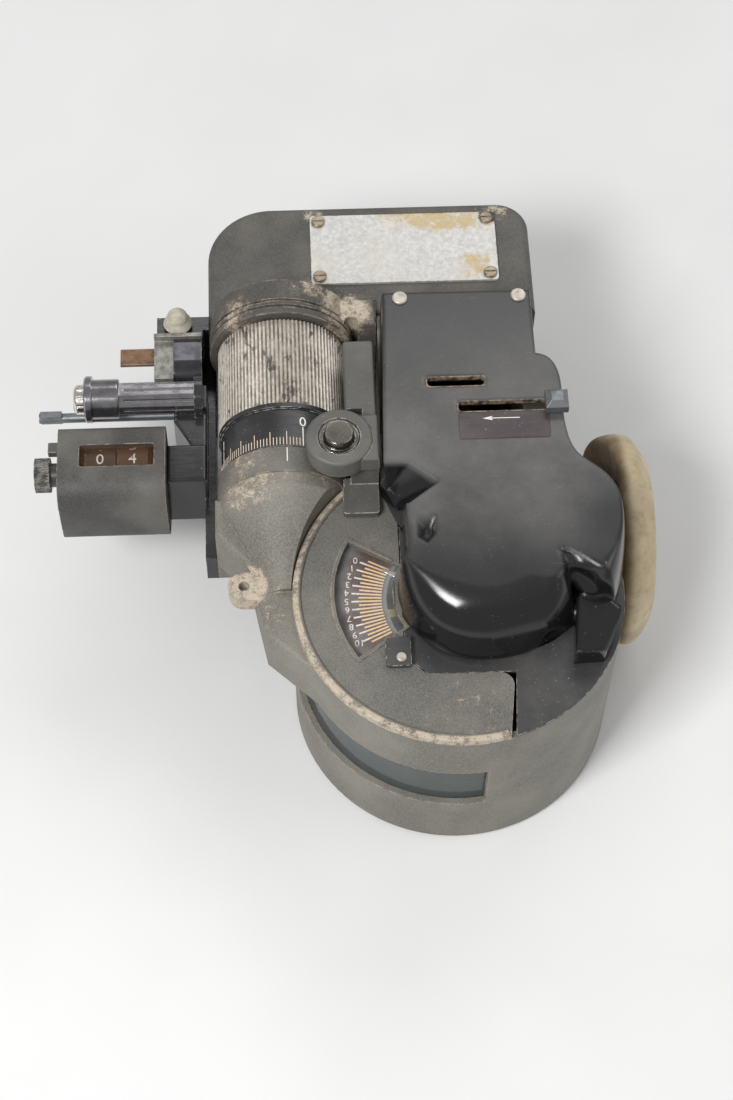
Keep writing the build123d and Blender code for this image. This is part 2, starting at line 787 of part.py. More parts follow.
def housing_screws():
    """Name plate screws and the same screws in the base cover."""
    solids = []
    for x, y in name_screw_places():
        solids += screw_up(x, y, base_z1 + name_t).solids()
    for x, y in cover_screw_places():
        turned = Pos(x, y, 0) * Rot(180, 0, 0) * screw_up(0, 0, -screw_head_t - 0.3)
        solids += turned.solids()
    return Compound(solids)


# Edge of the side cover seen from above, clockwise from its top left corner, in four runs.
# The last value of each point is how far the wall leans in towards the flat top.
cover_top_run = [
    (cover_left, cover_y1, 0.9),
    (27.0, cover_y1, 1.2),
    (27.0, 70.6, 1.2),
]
cover_right_run = [
    (31.0, 68.6, 1.2),
    (33.2, 63.6, 1.2),
    (33.6, 54.0, 1.2),
    (34.0, 43.6, 1.2),
    (36.6, 35.6, 1.3),
    (42.4, 30.2, 1.4),
    (46.8, 24.0, 1.5),
    (48.2, 14.3, 1.9),
    (47.1, 4.0, 3.2),
    (43.6, -7.4, 5.6),
]
cover_notch_run = [
    (39.0, -6.7, 5.0),
    (35.2, -4.5, 4.0),
    (31.6, -3.4, 3.6),
]
cover_bulge_run = [
    (31.9, -8.6, 9.0),
    (28.0, -14.9, 12.4),
    (18.5, -19.6, cover_lip),
    (7.5, -21.8, cover_lip),
    (-3.0, -20.2, cover_lip),
    (-11.6, -14.4, 11.6),
    (-16.3, -6.0, 7.4),
    (-17.4, 1.6, 2.0),
]
cover_left_run = [
    (-14.8, 7.0, 0.9),
    (-15.2, 20.0, 0.9),
    (cover_left_low, cover_low_y, 0.9),
]

# Two dents beside the lamp bracket: upper outline at the flat top, then a lower one and its depth.
dent_top = [(-24.0, 33.4), (-12.7, 33.0), (-4.4, 26.2), (-13.7, 19.3), (-24.0, 19.0)]
dent_foot = [(-24.0, 31.4), (-18.6, 31.0), (-16.0, 27.0), (-17.6, 22.4), (-24.0, 22.0)]
dent_depth = 11.0
pit_top = [(-12.0, 14.6), (-6.2, 15.6), (-6.4, 9.0), (-9.1, 5.6), (-12.2, 8.0)]
pit_foot = [(-9.2, 11.8), (-7.7, 12.4), (-7.8, 10.0), (-8.8, 8.6), (-9.8, 9.6)]
pit_depth = 2.4


def unit(x, y):
    size = math.hypot(x, y)
    return (x / size, y / size)


def cover_section(z, offset):
    """One level of the side cover: a wire through all points, leaned in by the quarter round."""
    rise = (z - face_z) / (cover_z1 - face_z)
    lean = 1 - math.sqrt(max(0.0, 1 - rise * rise))
    runs = [cover_top_run, cover_right_run, cover_notch_run, cover_bulge_run, cover_left_run]
    points = [point for run in runs for point in run]
    count = len(points)
    placed = []
    for i in range(count):
        x, y, inset = points[i]
        xa, ya = points[i - 1][:2]
        xb, yb = points[(i + 1) % count][:2]
        ua = unit(x - xa, y - ya)
        ub = unit(xb - x, yb - y)
        nx, ny = unit(ua[1] + ub[1], -ua[0] - ub[0])
        stretch = 1 / max(0.6, math.sqrt((1 + ua[0] * ub[0] + ua[1] * ub[1]) / 2))
        shift = (inset * lean + offset) * stretch
        placed.append((x + nx * shift, y + ny * shift, z))
    top_end = len(cover_top_run) - 1
    right_end = top_end + len(cover_right_run)
    notch_end = right_end + len(cover_notch_run)
    bulge_end = notch_end + len(cover_bulge_run)
    edges = [Line(placed[i], placed[i + 1]) for i in range(top_end)]
    edges.append(Spline(placed[top_end:right_end + 1]))
    edges.append(Spline(placed[right_end:notch_end + 1]))
    edges.append(Spline(placed[notch_end:bulge_end + 1]))
    edges += [Line(placed[i], placed[i + 1]) for i in range(bulge_end, count - 1)]
    edges.append(Line(placed[-1], placed[0]))
    return Wire(edges)


def cover_form(offset, top, levels):
    height = top - face_z
    sections = [cover_section(face_z + height * f, offset) for f in levels]
    return Solid.make_loft(sections)


def cover_dent(upper, lower, depth, grow):
    """The body of a dent with flat sides. It grows outwards for the inside of the cover."""
    wires = []
    for points, z in ((upper, cover_z1 + 0.1 + grow), (lower, cover_z1 - depth - grow)):
        mid_x = sum(p[0] for p in points) / len(points)
        mid_y = sum(p[1] for p in points) / len(points)
        outline = []
        for x, y in points:
            ux, uy = unit(x - mid_x, y - mid_y)
            outline.append((x + ux * grow * 1.2, y + uy * grow * 1.2, z))
        wires.append(Wire.make_polygon(outline))
    return Solid.make_loft(wires, ruled=True)


def side_cover():
    """Moulded cover over column and index bearing, one shell with a large round lip."""
    outer = cover_form(0.0, cover_z1, [0.0, 0.35, 0.62, 0.8, 0.92, 0.98, 1.0])
    inner = cover_form(cover_wall, cover_z1 - cover_wall, [0.0, 0.5, 0.8, 1.0])
    for upper, lower, depth in ((dent_top, dent_foot, dent_depth), (pit_top, pit_foot, pit_depth)):
        outer -= cover_dent(upper, lower, depth, 0.0)
        inner -= cover_dent(upper, lower, depth, cover_wall)
    cover = outer - inner + cover_step()
    cover -= block(slot_x0, slot_x1, slot_y - slot_w / 2, slot_y + slot_w / 2, 75, 90)
    cover -= block(
        small_slot_x0, small_slot_x1, small_slot_y - small_slot_w / 2,
        small_slot_y + small_slot_w / 2, 75, 90,
    )
    for x in cover_screw_x:
        cover += cyl_z(cover_post_r, face_z, cover_z1 - 1, x, cover_screw_y) & outer
        cover -= cyl_z(screw_shank_r + run_gap, face_z - 1, cover_z1 + 1, x, cover_screw_y)
    return cover


def cover_step():
    """Low step of the cover between its bulge and the head's rim."""
    rim_r = head_r - 1.4
    rim = ThreePointArc(polar(rim_r, -12.5), polar(rim_r, -22.0), polar(rim_r, -31.0))
    left = [polar(rim_r, -31.0), (31.0, -24.2), (32.6, -7.0), (34.6, -3.2), (40.5, -5.6), polar(rim_r, -12.5)]
    sides = [Line(left[i], left[i + 1]) for i in range(len(left) - 1)]
    step = Pos(0, 0, face_z) * extrude(make_face([rim] + sides), cover_step_z - face_z)
    return fillet(edges_at(step, Axis.Z, cover_step_z).sort_by(Axis.X)[:2], 0.8)


def side_cover_screws():
    """The two screws of the side cover and the small one of the clip below it."""
    solids = []
    places = [(x, cover_screw_y, cover_z1, cover_screw_r, cover_screw_len - 1) for x in cover_screw_x]
    places.append((*clip_screw, clip_z1, clip_screw_r, clip_z1 - clip_z0))
    for x, y, seat_z, r, length in places:
        head = cyl_z(r, seat_z, seat_z + 0.8, x, y)
        head = fillet(edges_at(head, Axis.Z, seat_z + 0.8), 0.5)
        head += cyl_z(screw_shank_r - seat_gap, seat_z - length, seat_z, x, y)
        solids += head.solids()
    return Compound(solids)


def lamp_arm():
    """Arm of the scale lamp: a flat bar with a step and a round boss over the scale band."""
    bar = rounded_block(arm_x0, arm_x1, boss_y, arm_y1, face_z + 2, arm_z1, 1.0)
    bar = fillet(edges_at(bar, Axis.Z, arm_z1), 0.8)
    bar -= block(arm_x0 - 1, arm_x0 + 5.0, 52.0, 54.6, arm_z1 - 3.0, arm_z1 + 1)
    bar -= cyl_y(ring_r + body_gap, ring_y0, band_y0, drum_x, drum_z)
    bar -= cyl_y(drum_r + 0.6, band_y0, collar_y0, drum_x, drum_z)
    boss = cyl_z(boss_lamp_r, boss_z0, boss_z1, boss_x, boss_y)
    boss = fillet(edges_at(boss, Axis.Z, boss_z1), 1.0)
    neck_bar = block(boss_x, arm_x1, boss_y - 7.5, boss_y + 8.0, boss_z0, boss_z1 - 1.0)
    neck_bar = fillet(edges_at(neck_bar, Axis.Z, boss_z1 - 1.0), 0.8)
    arm = bar + boss + neck_bar
    arm -= cyl_z(nut_r + 1.6, boss_z1 - 0.9, boss_z1 + 1, boss_x, boss_y)
    arm -= cyl_z(bulb_r + 0.4, boss_z0 - 1, boss_z1 - 2.4, boss_x, boss_y)
    return arm - cyl_z(bulb_r + 0.1, boss_z0 - 1, boss_z1 + 1, boss_x, boss_y)


def lamp_arm_nut():
    """Domed cap nut in the countersink of the boss."""
    seat = boss_z1 - 0.9
    ring = cyl_z(nut_r + 1.2, seat, seat + 0.5, boss_x, boss_y)
    dome = Pos(boss_x, boss_y, seat + 0.5) * (Sphere(nut_r) & block(-9, 9, -9, 9, 0, 2.4))
    return ring + dome


def scale_lamp_bulb():
    glass = cyl_z(bulb_r, boss_z1 - 6.6, boss_z1 - 2.6, boss_x, boss_y)
    glass = fillet(edges_at(glass, Axis.Z, boss_z1 - 6.6), bulb_r * 0.8)
    cap = cyl_z(bulb_r, boss_z1 - 2.6, boss_z1 - 0.9 - seat_gap, boss_x, boss_y)
    return glass + cap


def lamp_bracket():
    """Grey bracket under the arm."""
    x1 = arm_x1
    wing = rounded_block(plate_x0, x1, plate_y0, plate_y1, face_z + rim_h + 0.1, face_z + 3.0, 1.0)
    post = block(arm_x0 + 1, x1, plate_y1 - 2, boss_y - seat_gap, face_z + rim_h + 0.1, boss_z0 - seat_gap)
    bracket = wing + post
    return bracket - cyl_y(ring_r + body_gap, ring_y0 - 0.5, band_y0, drum_x, drum_z)


def eyepiece_tube():
    tube = cyl_x(tube_r, tube_x0, tube_x1, eye_y, optic_z)
    flange = cyl_x(eye_boss_r, eye_boss_x1, tube_x1, eye_y, optic_z)
    tube = tube + flange - cyl_x(tube_r - tube_wall, tube_x0 - 1, tube_x1 + 1, eye_y, optic_z)
    shelf = cyl_x(tube_r - tube_wall + 0.5, tube_x0, tube_x0 + 1.5, eye_y, optic_z)
    shelf -= cyl_x(eye_lens_r - 1, tube_x0 - 1, tube_x0 + 3, eye_y, optic_z)
    return tube + shelf


def lens(r, thick, crown):
    """A biconvex lens on +Z with a flat rim, centred at the origin."""
    edge = thick - 2 * crown
    ball_r = (r * r + crown * crown) / (2 * crown)
    side_a = ThreePointArc((0, thick / 2), (r / 2, bulge_at(r / 2, ball_r, thick)), (r, edge / 2))
    side_b = Line((r, edge / 2), (r, -edge / 2))
    side_c = ThreePointArc((r, -edge / 2), (r / 2, -bulge_at(r / 2, ball_r, thick)), (0, -thick / 2))
    side_d = Line((0, -thick / 2), (0, thick / 2))
    return Rot(90, 0, 0) * revolve(Plane.XY * make_face([side_a, side_b, side_c, side_d]), Axis.Y)


def bulge_at(x, ball_r, thick):
    return thick / 2 - (ball_r - math.sqrt(ball_r * ball_r - x * x))


def lens_along_x(r, thick, crown, x, y, z):
    return Pos(x, y, z) * Rot(0, 90, 0) * lens(r, thick, crown)


def lens_along_y(r, thick, crown, x, y, z):
    return Pos(x, y, z) * Rot(90, 0, 0) * lens(r, thick, crown)


def field_lens():
    r = tube_r - tube_wall - seat_gap
    x = tube_x0 + 1.5 + field_lens_t / 2 + seat_gap
    return lens_along_x(r, field_lens_t, 1.2, x, eye_y, optic_z)


def eyepiece_cell():
    """Sliding cell of the eye lens."""
    x0 = eye_cell_x0
    x1 = eye_cell_x1
    cell = cyl_x(eye_cell_r, x0, x1, eye_y, optic_z)
    cell -= cyl_x(eye_lens_r - 1.0, x0 - 1, x1 + 1, eye_y, optic_z)
    return cell - cyl_x(eye_lens_r + seat_gap, x0 + 2, x1 + 1, eye_y, optic_z)


def eye_lens():
    x = eye_cell_x0 + 2 + eye_lens_t / 2 + seat_gap
    return lens_along_x(eye_lens_r, eye_lens_t, 1.3, x, eye_y, optic_z)


def focus_ring():
    """Knurled focusing ring on the end of the eyepiece tube."""
    disc = ridged_disc(focus_ring_r, 0.5, focus_ridges, focus_ring_len)
    sleeve = Cylinder(eyecup_neck_r, focus_ring_len + sleeve_len, align=MID)
    ring = Pos(ring_x0, eye_y, optic_z) * Rot(0, 90, 0) * (disc + sleeve)
    return ring - cyl_x(eye_cell_r + 0.9, ring_x0 - 1, ring_x0 + 20, eye_y, optic_z)


def eyecup():
    """Rubber cup on the ring's sleeve: it bells back over the ring and closes in to its mouth."""
    x0 = ring_x0 + focus_ring_len + 0.1
    x1 = x0 + eyecup_len
    r0 = eyecup_neck_r + seat_gap
    wall = eyecup_wall
    mouth_r = eyecup_mouth_r
    outer = Spline(
        (x0, r0 + wall), (x0 - 1.5, eyecup_r - 8.3), (x0 - 2.2, eyecup_r - 3.3), (x0 - 1.3, eyecup_r - 0.4),
        (x0 + 1.6, eyecup_r), (x0 + 5.0, eyecup_r - 2.0), (x1 - 1.3, mouth_r + 2.6), (x1, mouth_r),
    )
    lip = ThreePointArc((x1, mouth_r), (x1 - 0.4, mouth_r - 1.1), (x1 - 1.4, mouth_r - 0.6))
    inner = Spline(
        (x1 - 1.4, mouth_r - 0.6), (x1 - 2.8, mouth_r + 1.8), (x0 + 3.6, eyecup_r - 3.4),
        (x0 + 1.3, eyecup_r - 2.0), (x0, eyecup_r - 3.0), (x0 + 0.2, eyecup_r - 6.3),
        (x0 + 1.3, r0 + 5.4), (x0 + 3.2, r0 + 1.4),
    )
    sides = [
        Line((x0 + 3.2, r0 + 1.4), (x0 + sleeve_len - 0.2, r0)),
        Line((x0 + sleeve_len - 0.2, r0), (x0, r0)),
        Line((x0, r0), (x0, r0 + wall)),
    ]
    return Pos(0, eye_y, optic_z) * revolve(make_face([outer, lip, inner] + sides), Axis.X)


def objective_cell():
    """Ring for the objective with a bracket that also holds the beam splitter."""
    r = objective_r + cell_wall
    ring = cyl_y(r, objective_y, objective_y + objective_t, 0, optic_z)
    leg = block(-5, 5, objective_y, objective_y + objective_t, floor_t, optic_z - objective_r)
    foot = block(-8, 8, objective_y, objective_y + 24.0, floor_t, floor_t + 2.0)
    low = optic_z - splitter_side / 2 - 2.0
    table = cyl_z(6.0, low, low + 1.9, 0, eye_y) + cyl_z(3.0, floor_t, low + 1, 0, eye_y)
    cell = ring + leg + foot + table
    hole = cyl_y(objective_r + seat_gap, objective_y - 1, objective_y + objective_t - 0.7, 0, optic_z)
    light = cyl_y(objective_r - 1.0, objective_y - 1, objective_y + 5, 0, optic_z)
    return cell - hole - light


def objective_lenses():
    t = objective_t - 0.9
    front = lens_along_y(objective_r, t, 0.7, 0, objective_y + t / 2 + 0.1, optic_z)
    rear = lens_along_y(collimator_r, collimator_t, 0.8, 0, collimator_y, optic_z)
    return Compound(front.solids() + rear.solids())


def beam_splitter():
    """Thin glass plate at 45 degrees between the light from above and the eyepiece."""
    half = splitter_side / 2
    plate = block(-half, half, -splitter_t / 2, splitter_t / 2, -half, half)
    return Pos(0, eye_y, optic_z) * Rot(0, 0, 45) * plate


def bubble_cell():
    """Brass bubble chamber on its foot, with the stud that the shade wheel turns on."""
    cell = cyl_y(bubble_r, bubble_y0, bubble_y1, 0, optic_z)
    cell = fillet(edges_at(cell, Axis.Y, bubble_y1), 1.0)
    waist = cyl_y(bubble_r + 1, bubble_y0 + 7, bubble_y1 - 7, 0, optic_z)
    waist -= cyl_y(bubble_r - 1.2, bubble_y0 + 6, bubble_y1 - 6, 0, optic_z)
    foot = block(-7, 7, bubble_y0 + 2, bubble_y1 - 2, column_z0 + 2.5, optic_z - bubble_r + 3)
    axle_z = optic_z - shade_ring_r
    stud = cyl_y(shade_axle_r, shade_y0 - 1.6, bubble_y0 + 1, 0, axle_z)
    head = cyl_y(shade_axle_r + 1.2, shade_y0 - 1.6, shade_y0 - 0.2, 0, axle_z)
    collar = cyl_y(shade_axle_r + 1.6, shade_y0 + shade_t + 0.2, bubble_y0 + 1, 0, axle_z)
    cell = cell - waist + foot + stud + head + collar
    cell -= cyl_y(bubble_glass_r + seat_gap, bubble_y0 - 1, bubble_y0 + 2.6, 0, optic_z)
    cell -= cyl_y(bubble_glass_r - 2.0, bubble_y0, bubble_y0 + 9, 0, optic_z)
    cell -= cyl_z(2.4, column_z0, optic_z - bubble_r + 5, 0, bubble_knob_y)
    return cell + (stud + collar)


def bubble_glass():
    return cyl_y(bubble_glass_r, bubble_y0 + 0.1, bubble_y0 + 2.5, 0, optic_z) - cyl_y(
        shade_axle_r + 1.7, bubble_y0 - 1, bubble_y0 + 4, 0, optic_z - shade_ring_r)


def bubble_knob():
    """Knob of the bubble's size, on a screw spindle that enters the cell."""
    knob = Pos(0, bubble_knob_y, bubble_knob_z0) * ridged_disc(
        bubble_knob_r, 0.5, 40, column_z0 - bubble_knob_z0 - 0.6)
    spindle = cyl_z(2.3, column_z0 - 1, optic_z - bubble_r + 4.5, 0, bubble_knob_y)
    return knob + spindle


def shade_wheel():
    """Thumb wheel with four round openings, one of them clear."""
    z = optic_z - shade_ring_r
    wheel = Pos(0, shade_y0, z) * Rot(-90, 0, 0) * ridged_disc(shade_r, 0.5, 48, shade_t)
    for i in range(shade_count):
        x, dz = polar(shade_ring_r, 90 + 360 * i / shade_count)
        wheel -= cyl_y(shade_hole_r, shade_y0 - 1, shade_y0 + 5, x, z + dz)
        if i > 0:
            seat = cyl_y(shade_hole_r + 0.5, shade_y0 - 1, shade_y0 + 1.4, x, z + dz)
            wheel -= seat
    return wheel - cyl_y(shade_axle_r + run_gap, shade_y0 - 1, shade_y0 + 5, 0, z)


def shade_glasses():
    z = optic_z - shade_ring_r
    solids = []
    for i in range(1, shade_count):
        x, dz = polar(shade_ring_r, 90 + 360 * i / shade_count)
        glass = cyl_y(shade_hole_r + 0.5 - seat_gap, shade_y0 + 0.1, shade_y0 + 1.4 - seat_gap, x, z + dz)
        solids += glass.solids()
    return Compound(solids)


def astigmatizer_slide():
    """Lens frame on its rail, with the stem and the bare metal tip above the side cover."""
    x = astig_out_x
    y1 = astig_y0 + astig_t
    top = optic_z + astig_lens_r + 3.5
    frame = rounded_block(x - astig_half, x + astig_half, astig_y0, y1, astig_rail_z - 3.2, top, 0.6)
    frame -= cyl_y(astig_lens_r + seat_gap, astig_y0 + 0.8, y1 + 1, x, optic_z)
    frame -= cyl_y(astig_lens_r - 0.7, astig_y0 - 1, y1 + 1, x, optic_z)
    mid_y = astig_y0 + astig_t / 2
    frame += cyl_x(astig_rail_r + 1.3, x - astig_half, x + astig_half, mid_y, astig_rail_z)
    frame -= cyl_x(astig_rail_r + run_gap, x - 9, x + 9, mid_y, astig_rail_z)
    stem_x1 = x + astig_half
    half_stem = astig_stem_w / 2
    stem = block(stem_x1 - 3.2, stem_x1, mid_y - half_stem, mid_y + half_stem, top - 1, cover_z1 + 1.2)
    tip_z0 = cover_z1 + 0.5
    tip = block(stem_x1 - 3.6, stem_x1 + 3.0, mid_y - 3.4, mid_y + 3.0, tip_z0, tip_z0 + astig_tip_h)
    tip = chamfer(edges_at(tip, Axis.Z, tip_z0 + astig_tip_h), 1.6)
    return frame + stem + tip


def astigmatizer_lens():
    mid = astig_y0 + astig_t / 2 + 0.4
    return lens_along_y(astig_lens_r, 1.9, 0.4, astig_out_x, mid, optic_z)


def astigmatizer_rail():
    mid_y = astig_y0 + astig_t / 2
    x0 = column_x0 + column_wall
    x1 = pocket_x1 - column_wall
    rail = cyl_x(astig_rail_r, x0 + seat_gap, x1 - seat_gap, mid_y, astig_rail_z)
    return rail


def front_bracket():
    """Grey web along the instrument's front, with shelves for tube and counter."""
    clear_y1 = base_y0 - seat_gap
    inner_x = web_x0 + 1
    rail = block(web_x0, shoulder_x - seat_gap, 23.0, clear_y1, web_z0, web_z1)
    shelf = block(counter_x1, inner_x, shelf_y0, shelf_y1, web_z0, shelf_z1)
    shelf = fillet(edges_at(shelf, Axis.Z, shelf_z1), 1.0)
    lug_outline = [
        (inner_x, shelf_y1 - 3), (web_x0 - 2.0, shelf_y1 - 3), (lamp_x0, tube_y - 7.3),
        (lamp_x0, tube_y - 0.5), (inner_x, tube_y - 0.5),
    ]
    rod_lug = prism_of(lug_outline, web_z0 + 2, rod_lug_z1)
    rod_lug = fillet(edges_at(rod_lug, Axis.Z, rod_lug_z1), 0.8)
    under_tube = block(lamp_x0, inner_x, tube_y - 1, lamp_y0 - 1, web_z0 + 2, tube_z - facet_r)
    collar = cyl_x(tube_collar_r, tube_collar_x0, web_x0, tube_y, tube_z)
    collar_post = block(tube_collar_x0, inner_x, tube_y - 4, tube_y + 4, web_z0 + 2, tube_z)
    lamp_lug = block(lamp_x0 + 2, inner_x, tube_y + 4, lamp_y1, web_z0, lamp_z0 - seat_gap)
    bracket = rail + shelf + rod_lug + under_tube + lamp_lug + collar + collar_post
    bracket -= cyl_x(facet_r + run_gap, web_x0 - 20, facet_x1 + 0.01, tube_y, tube_z)
    bracket -= block(web_x0 - 20, web_x0 + 4, lamp_y0 - 0.1, 110, lamp_z0 - seat_gap, 80)
    return bracket - cyl_x(rod_r + run_gap, web_x0 - 20, web_x0 - 2.0, rod_y, rod_z)


def counter_housing():
    """Counter housing: a round-edged box with a window over the number wheels."""
    box = block(counter_x0, counter_x1 - seat_gap, counter_y0, counter_y1, counter_z0, counter_z1)
    long_edges = box.edges().filter_by(Axis.X)
    box = fillet(long_edges.group_by(Axis.Y)[0], counter_round)
    box = fillet(box.edges().filter_by(Axis.X).group_by(Axis.Y)[-1], counter_rear_round)
    x0 = counter_x0 + counter_wall
    x1 = counter_x1 - counter_wall
    box -= cyl_x(wheel_r + 0.7, x0, x1, counter_axis_y, counter_axis_z)
    half = counter_win_w / 2
    box -= rounded_block(
        counter_win_x0, counter_win_x1, counter_axis_y - half, counter_axis_y + half,
        counter_axis_z, counter_z1 + 1, 0.8,
    )
    tab_y0 = counter_y1 - 6.0
    tab_z0 = counter_z1 - 8.0
    tab = block(counter_x0 - 3.5, counter_x0 + 1, tab_y0, tab_y0 + 3.5, tab_z0, tab_z0 + 2.5)
    box -= cyl_x(counter_spindle_r + run_gap, counter_x0 - 1, counter_x1 + 1, counter_axis_y, counter_axis_z)
    return box + tab


def counter_window():
    half = counter_win_w / 2 - 0.1
    x0 = counter_win_x0 + 0.1
    x1 = counter_win_x1 - 0.1
    z1 = counter_z1 - 0.5
    return rounded_block(x0, x1, counter_axis_y - half, counter_axis_y + half, z1 - 1.0, z1, 0.7)


def number_wheel(x0):
    wheel = cyl_x(wheel_r, x0, x0 + wheel_len, counter_axis_y, counter_axis_z)
    wheel -= cyl_x(wheel_r - 1.8, x0 + 1.5, x0 + wheel_len + 1, counter_axis_y, counter_axis_z)
    wheel += cyl_x(4.0, x0, x0 + wheel_len, counter_axis_y, counter_axis_z)
    return wheel


def unit_wheel():
    x0 = counter_wheels_x0
    hole = cyl_x(counter_spindle_r + seat_gap, x0 - 1, x0 + 20, counter_axis_y, counter_axis_z)
    return number_wheel(x0) - hole


def tens_wheel():
    x0 = counter_wheels_x0 + wheel_len + wheel_gap
    hole = cyl_x(counter_spindle_r + run_gap, x0 - 1, x0 + 20, counter_axis_y, counter_axis_z)
    return number_wheel(x0) - hole


def counter_knob():
    """Knurled reset knob on the spindle of the number wheels."""
    knob = Pos(counter_knob_x0, counter_axis_y, counter_axis_z) * Rot(0, 90, 0) * ridged_disc(
        counter_knob_r, 0.45, counter_ridges, counter_knob_len)
    neck_x1 = counter_x0 - 0.2
    knob += cyl_x(3.6, counter_knob_x0 + counter_knob_len - 1, neck_x1, counter_axis_y, counter_axis_z)
    knob += cyl_x(counter_spindle_r, neck_x1 - 1, counter_x1 - 0.5, counter_axis_y, counter_axis_z)
    return knob


def lamp_tube():
    """Faceted moulded tube with a plain round end and a bright ring."""
    across = facet_r * math.cos(math.pi / 8)
    octagon = make_face(Polyline([polar(facet_r, 22.5 + 45 * i) for i in range(8)], close=True))
    facets = Pos(facet_x0, tube_y, tube_z) * Rot(0, 90, 0) * extrude(octagon, facet_x1 - facet_x0)
    plain = cyl_x(plain_r, plain_x0, facet_x0, tube_y, tube_z)
    plain = fillet(edges_at(plain, Axis.X, facet_x0), 0.6)
    tube = facets + plain
    for a in range(0, 360, 45):
        y, z = polar(across + 0.2, a)
        tube -= cyl_x(0.5, facet_x0 + 1.5, facet_x1 + 1, tube_y + y, tube_z + z)
    ring = cyl_x(nickel_r, nickel_x0, plain_x0, tube_y, tube_z)
    tube += chamfer(edges_at(ring, Axis.X, nickel_x0), 0.5)
    return tube - cyl_x(knob_spindle_r + run_gap, nickel_x0 - 1, plain_x0 + 9, tube_y, tube_z)


def rheostat_knob():
    """Bright end knob that dims the lamps."""
    knob = cyl_x(knob_r, knob_x0, nickel_x0 - 0.2, tube_y, tube_z)
    knob = fillet(edges_at(knob, Axis.X, knob_x0), 1.6)
    for a in range(0, 360, 30):
        y, z = polar(knob_r + 0.2, a)
        knob -= cyl_x(0.6, knob_x0 + 1.2, nickel_x0, tube_y + y, tube_z + z)
    spindle = cyl_x(knob_spindle_r, nickel_x0 - 1, plain_x0 + 8, tube_y, tube_z)
    return knob + spindle


def trigger_rod():
    """Thin push rod beside the tube that starts the averager."""
    rod = cyl_x(rod_r, rod_x0, web_x0 - 2.2 - rod_travel, rod_y, rod_z)
    tip = block(rod_x0, rod_x0 + 7.0, rod_y - 1.0, rod_y + 1.0, rod_z - 1.6, rod_z + 2.4)
    return rod + chamfer(edges_at(tip, Axis.X, rod_x0), 0.6)


def lamp_housing():
    box = block(lamp_x0, lamp_x1, lamp_y0, lamp_y1, lamp_z0, lamp_z1)
    front = edges_at(box, Axis.Z, lamp_z1).filter_by(Axis.X).sort_by(Axis.Y)[0]
    return fillet(front, lamp_round)


def flange_plate():
    """Light plate behind the lamp housing, with a side tongue and a brass contact strip."""
    y0 = lamp_y1 + seat_gap
    y1 = y0 + flange_t
    plate = block(flange_x0, lamp_x1, y0, y1, lamp_z0 - 4, lamp_z1 + 1.6)
    tongue = block(flange_x0, lamp_x0 - seat_gap, lamp_y0 + 1.0, y1, lamp_z0 + 2, lamp_z1 - 0.8)
    strip = block(strip_brass_x0, flange_x0 + 1, lamp_y1 - 6.3, lamp_y1 - 0.5, lamp_z1 - 5.0, lamp_z1 - 3.8)
    return plate + tongue + strip


def switch_body():
    y0 = lamp_y1 + flange_t + 2 * seat_gap
    body = block(button_x - 6.5, web_x0 - seat_gap, y0, switch_y1, lamp_z0 - 4, lamp_z1 - 1.0)
    body += block(button_x, base_x0 - seat_gap, base_y0 + seat_gap, switch_y1, lamp_z0 - 4, lamp_z1 - 1.0)
    body -= cyl_z(button_hole_r, lamp_z0 + 4, lamp_z1 + 1, button_x, button_y)
    return body


def switch_button():
    """Domed rubber push button with a flared foot and its plunger."""
    z0 = lamp_z1 - 1.0 + button_travel + 0.3
    flare = Pos(button_x, button_y, z0) * Cone(button_r, button_dome_r, 2.4, align=MID)
    dome = Pos(button_x, button_y, z0 + 2.4) * (Sphere(button_dome_r) & block(-9, 9, -9, 9, 0, 9))
    plunger = cyl_z(button_hole_r - run_gap, z0 - 5.5, z0 + 0.5, button_x, button_y)
    return flare + dome + plunger


def clock_gear(teeth, height):
    """A spur gear of the averager clockwork on +Z."""
    pitch_r = clock_module * teeth / 2
    pitch = math.pi * clock_module
    half = pitch / 4 - clock_play / 2
    slope = math.tan(math.radians(22))
    out = clock_module * 0.8
    into = clock_module * 1.1
    points = []
    for i in range(teeth):
        a = 360 * i / teeth
        for r, w in (
            (pitch_r - into, -half - into * slope), (pitch_r + out, -half + out * slope),
            (pitch_r + out, half - out * slope), (pitch_r - into, half + into * slope),
        ):
            points.append(polar(r, a + math.degrees(w / r)))
    return prism_of(points, 0, height)


def wheel_place():
    distance = clock_module * (barrel_teeth + wheel_teeth) / 2 + 0.1
    return (arbor_x + distance, arbor_y)


def mainspring_barrel():
    gear = Pos(arbor_x, arbor_y, barrel_z0) * clock_gear(barrel_teeth, clock_gear_t)
    drum = cyl_z(12.5, barrel_z0 + clock_gear_t - 0.5, barrel_z0 + barrel_h, arbor_x, arbor_y)
    hollow = cyl_z(11.3, barrel_z0 + clock_gear_t, barrel_z0 + barrel_h + 1, arbor_x, arbor_y)
    core = cyl_z(arbor_r + 1.5, barrel_z0, barrel_z0 + barrel_h, arbor_x, arbor_y)
    return gear + (drum - hollow) + core - cyl_z(arbor_r + seat_gap, 0, 60, arbor_x, arbor_y)


def winding_key():
    """Winding disc with a coin slot, flush in the base cover, and the barrel's arbor."""
    disc = Pos(arbor_x, arbor_y, key_z0) * ridged_disc(key_r, 0.5, 48, key_t)
    bar = block(arbor_x - 9, arbor_x + 9, arbor_y - 1.5, arbor_y + 1.5, key_z0 - 1, key_z0 + 2.0)
    top = barrel_z0 + barrel_h + 3.0
    return disc - bar + cyl_z(arbor_r, key_z0 + key_t - 1, top, arbor_x, arbor_y)


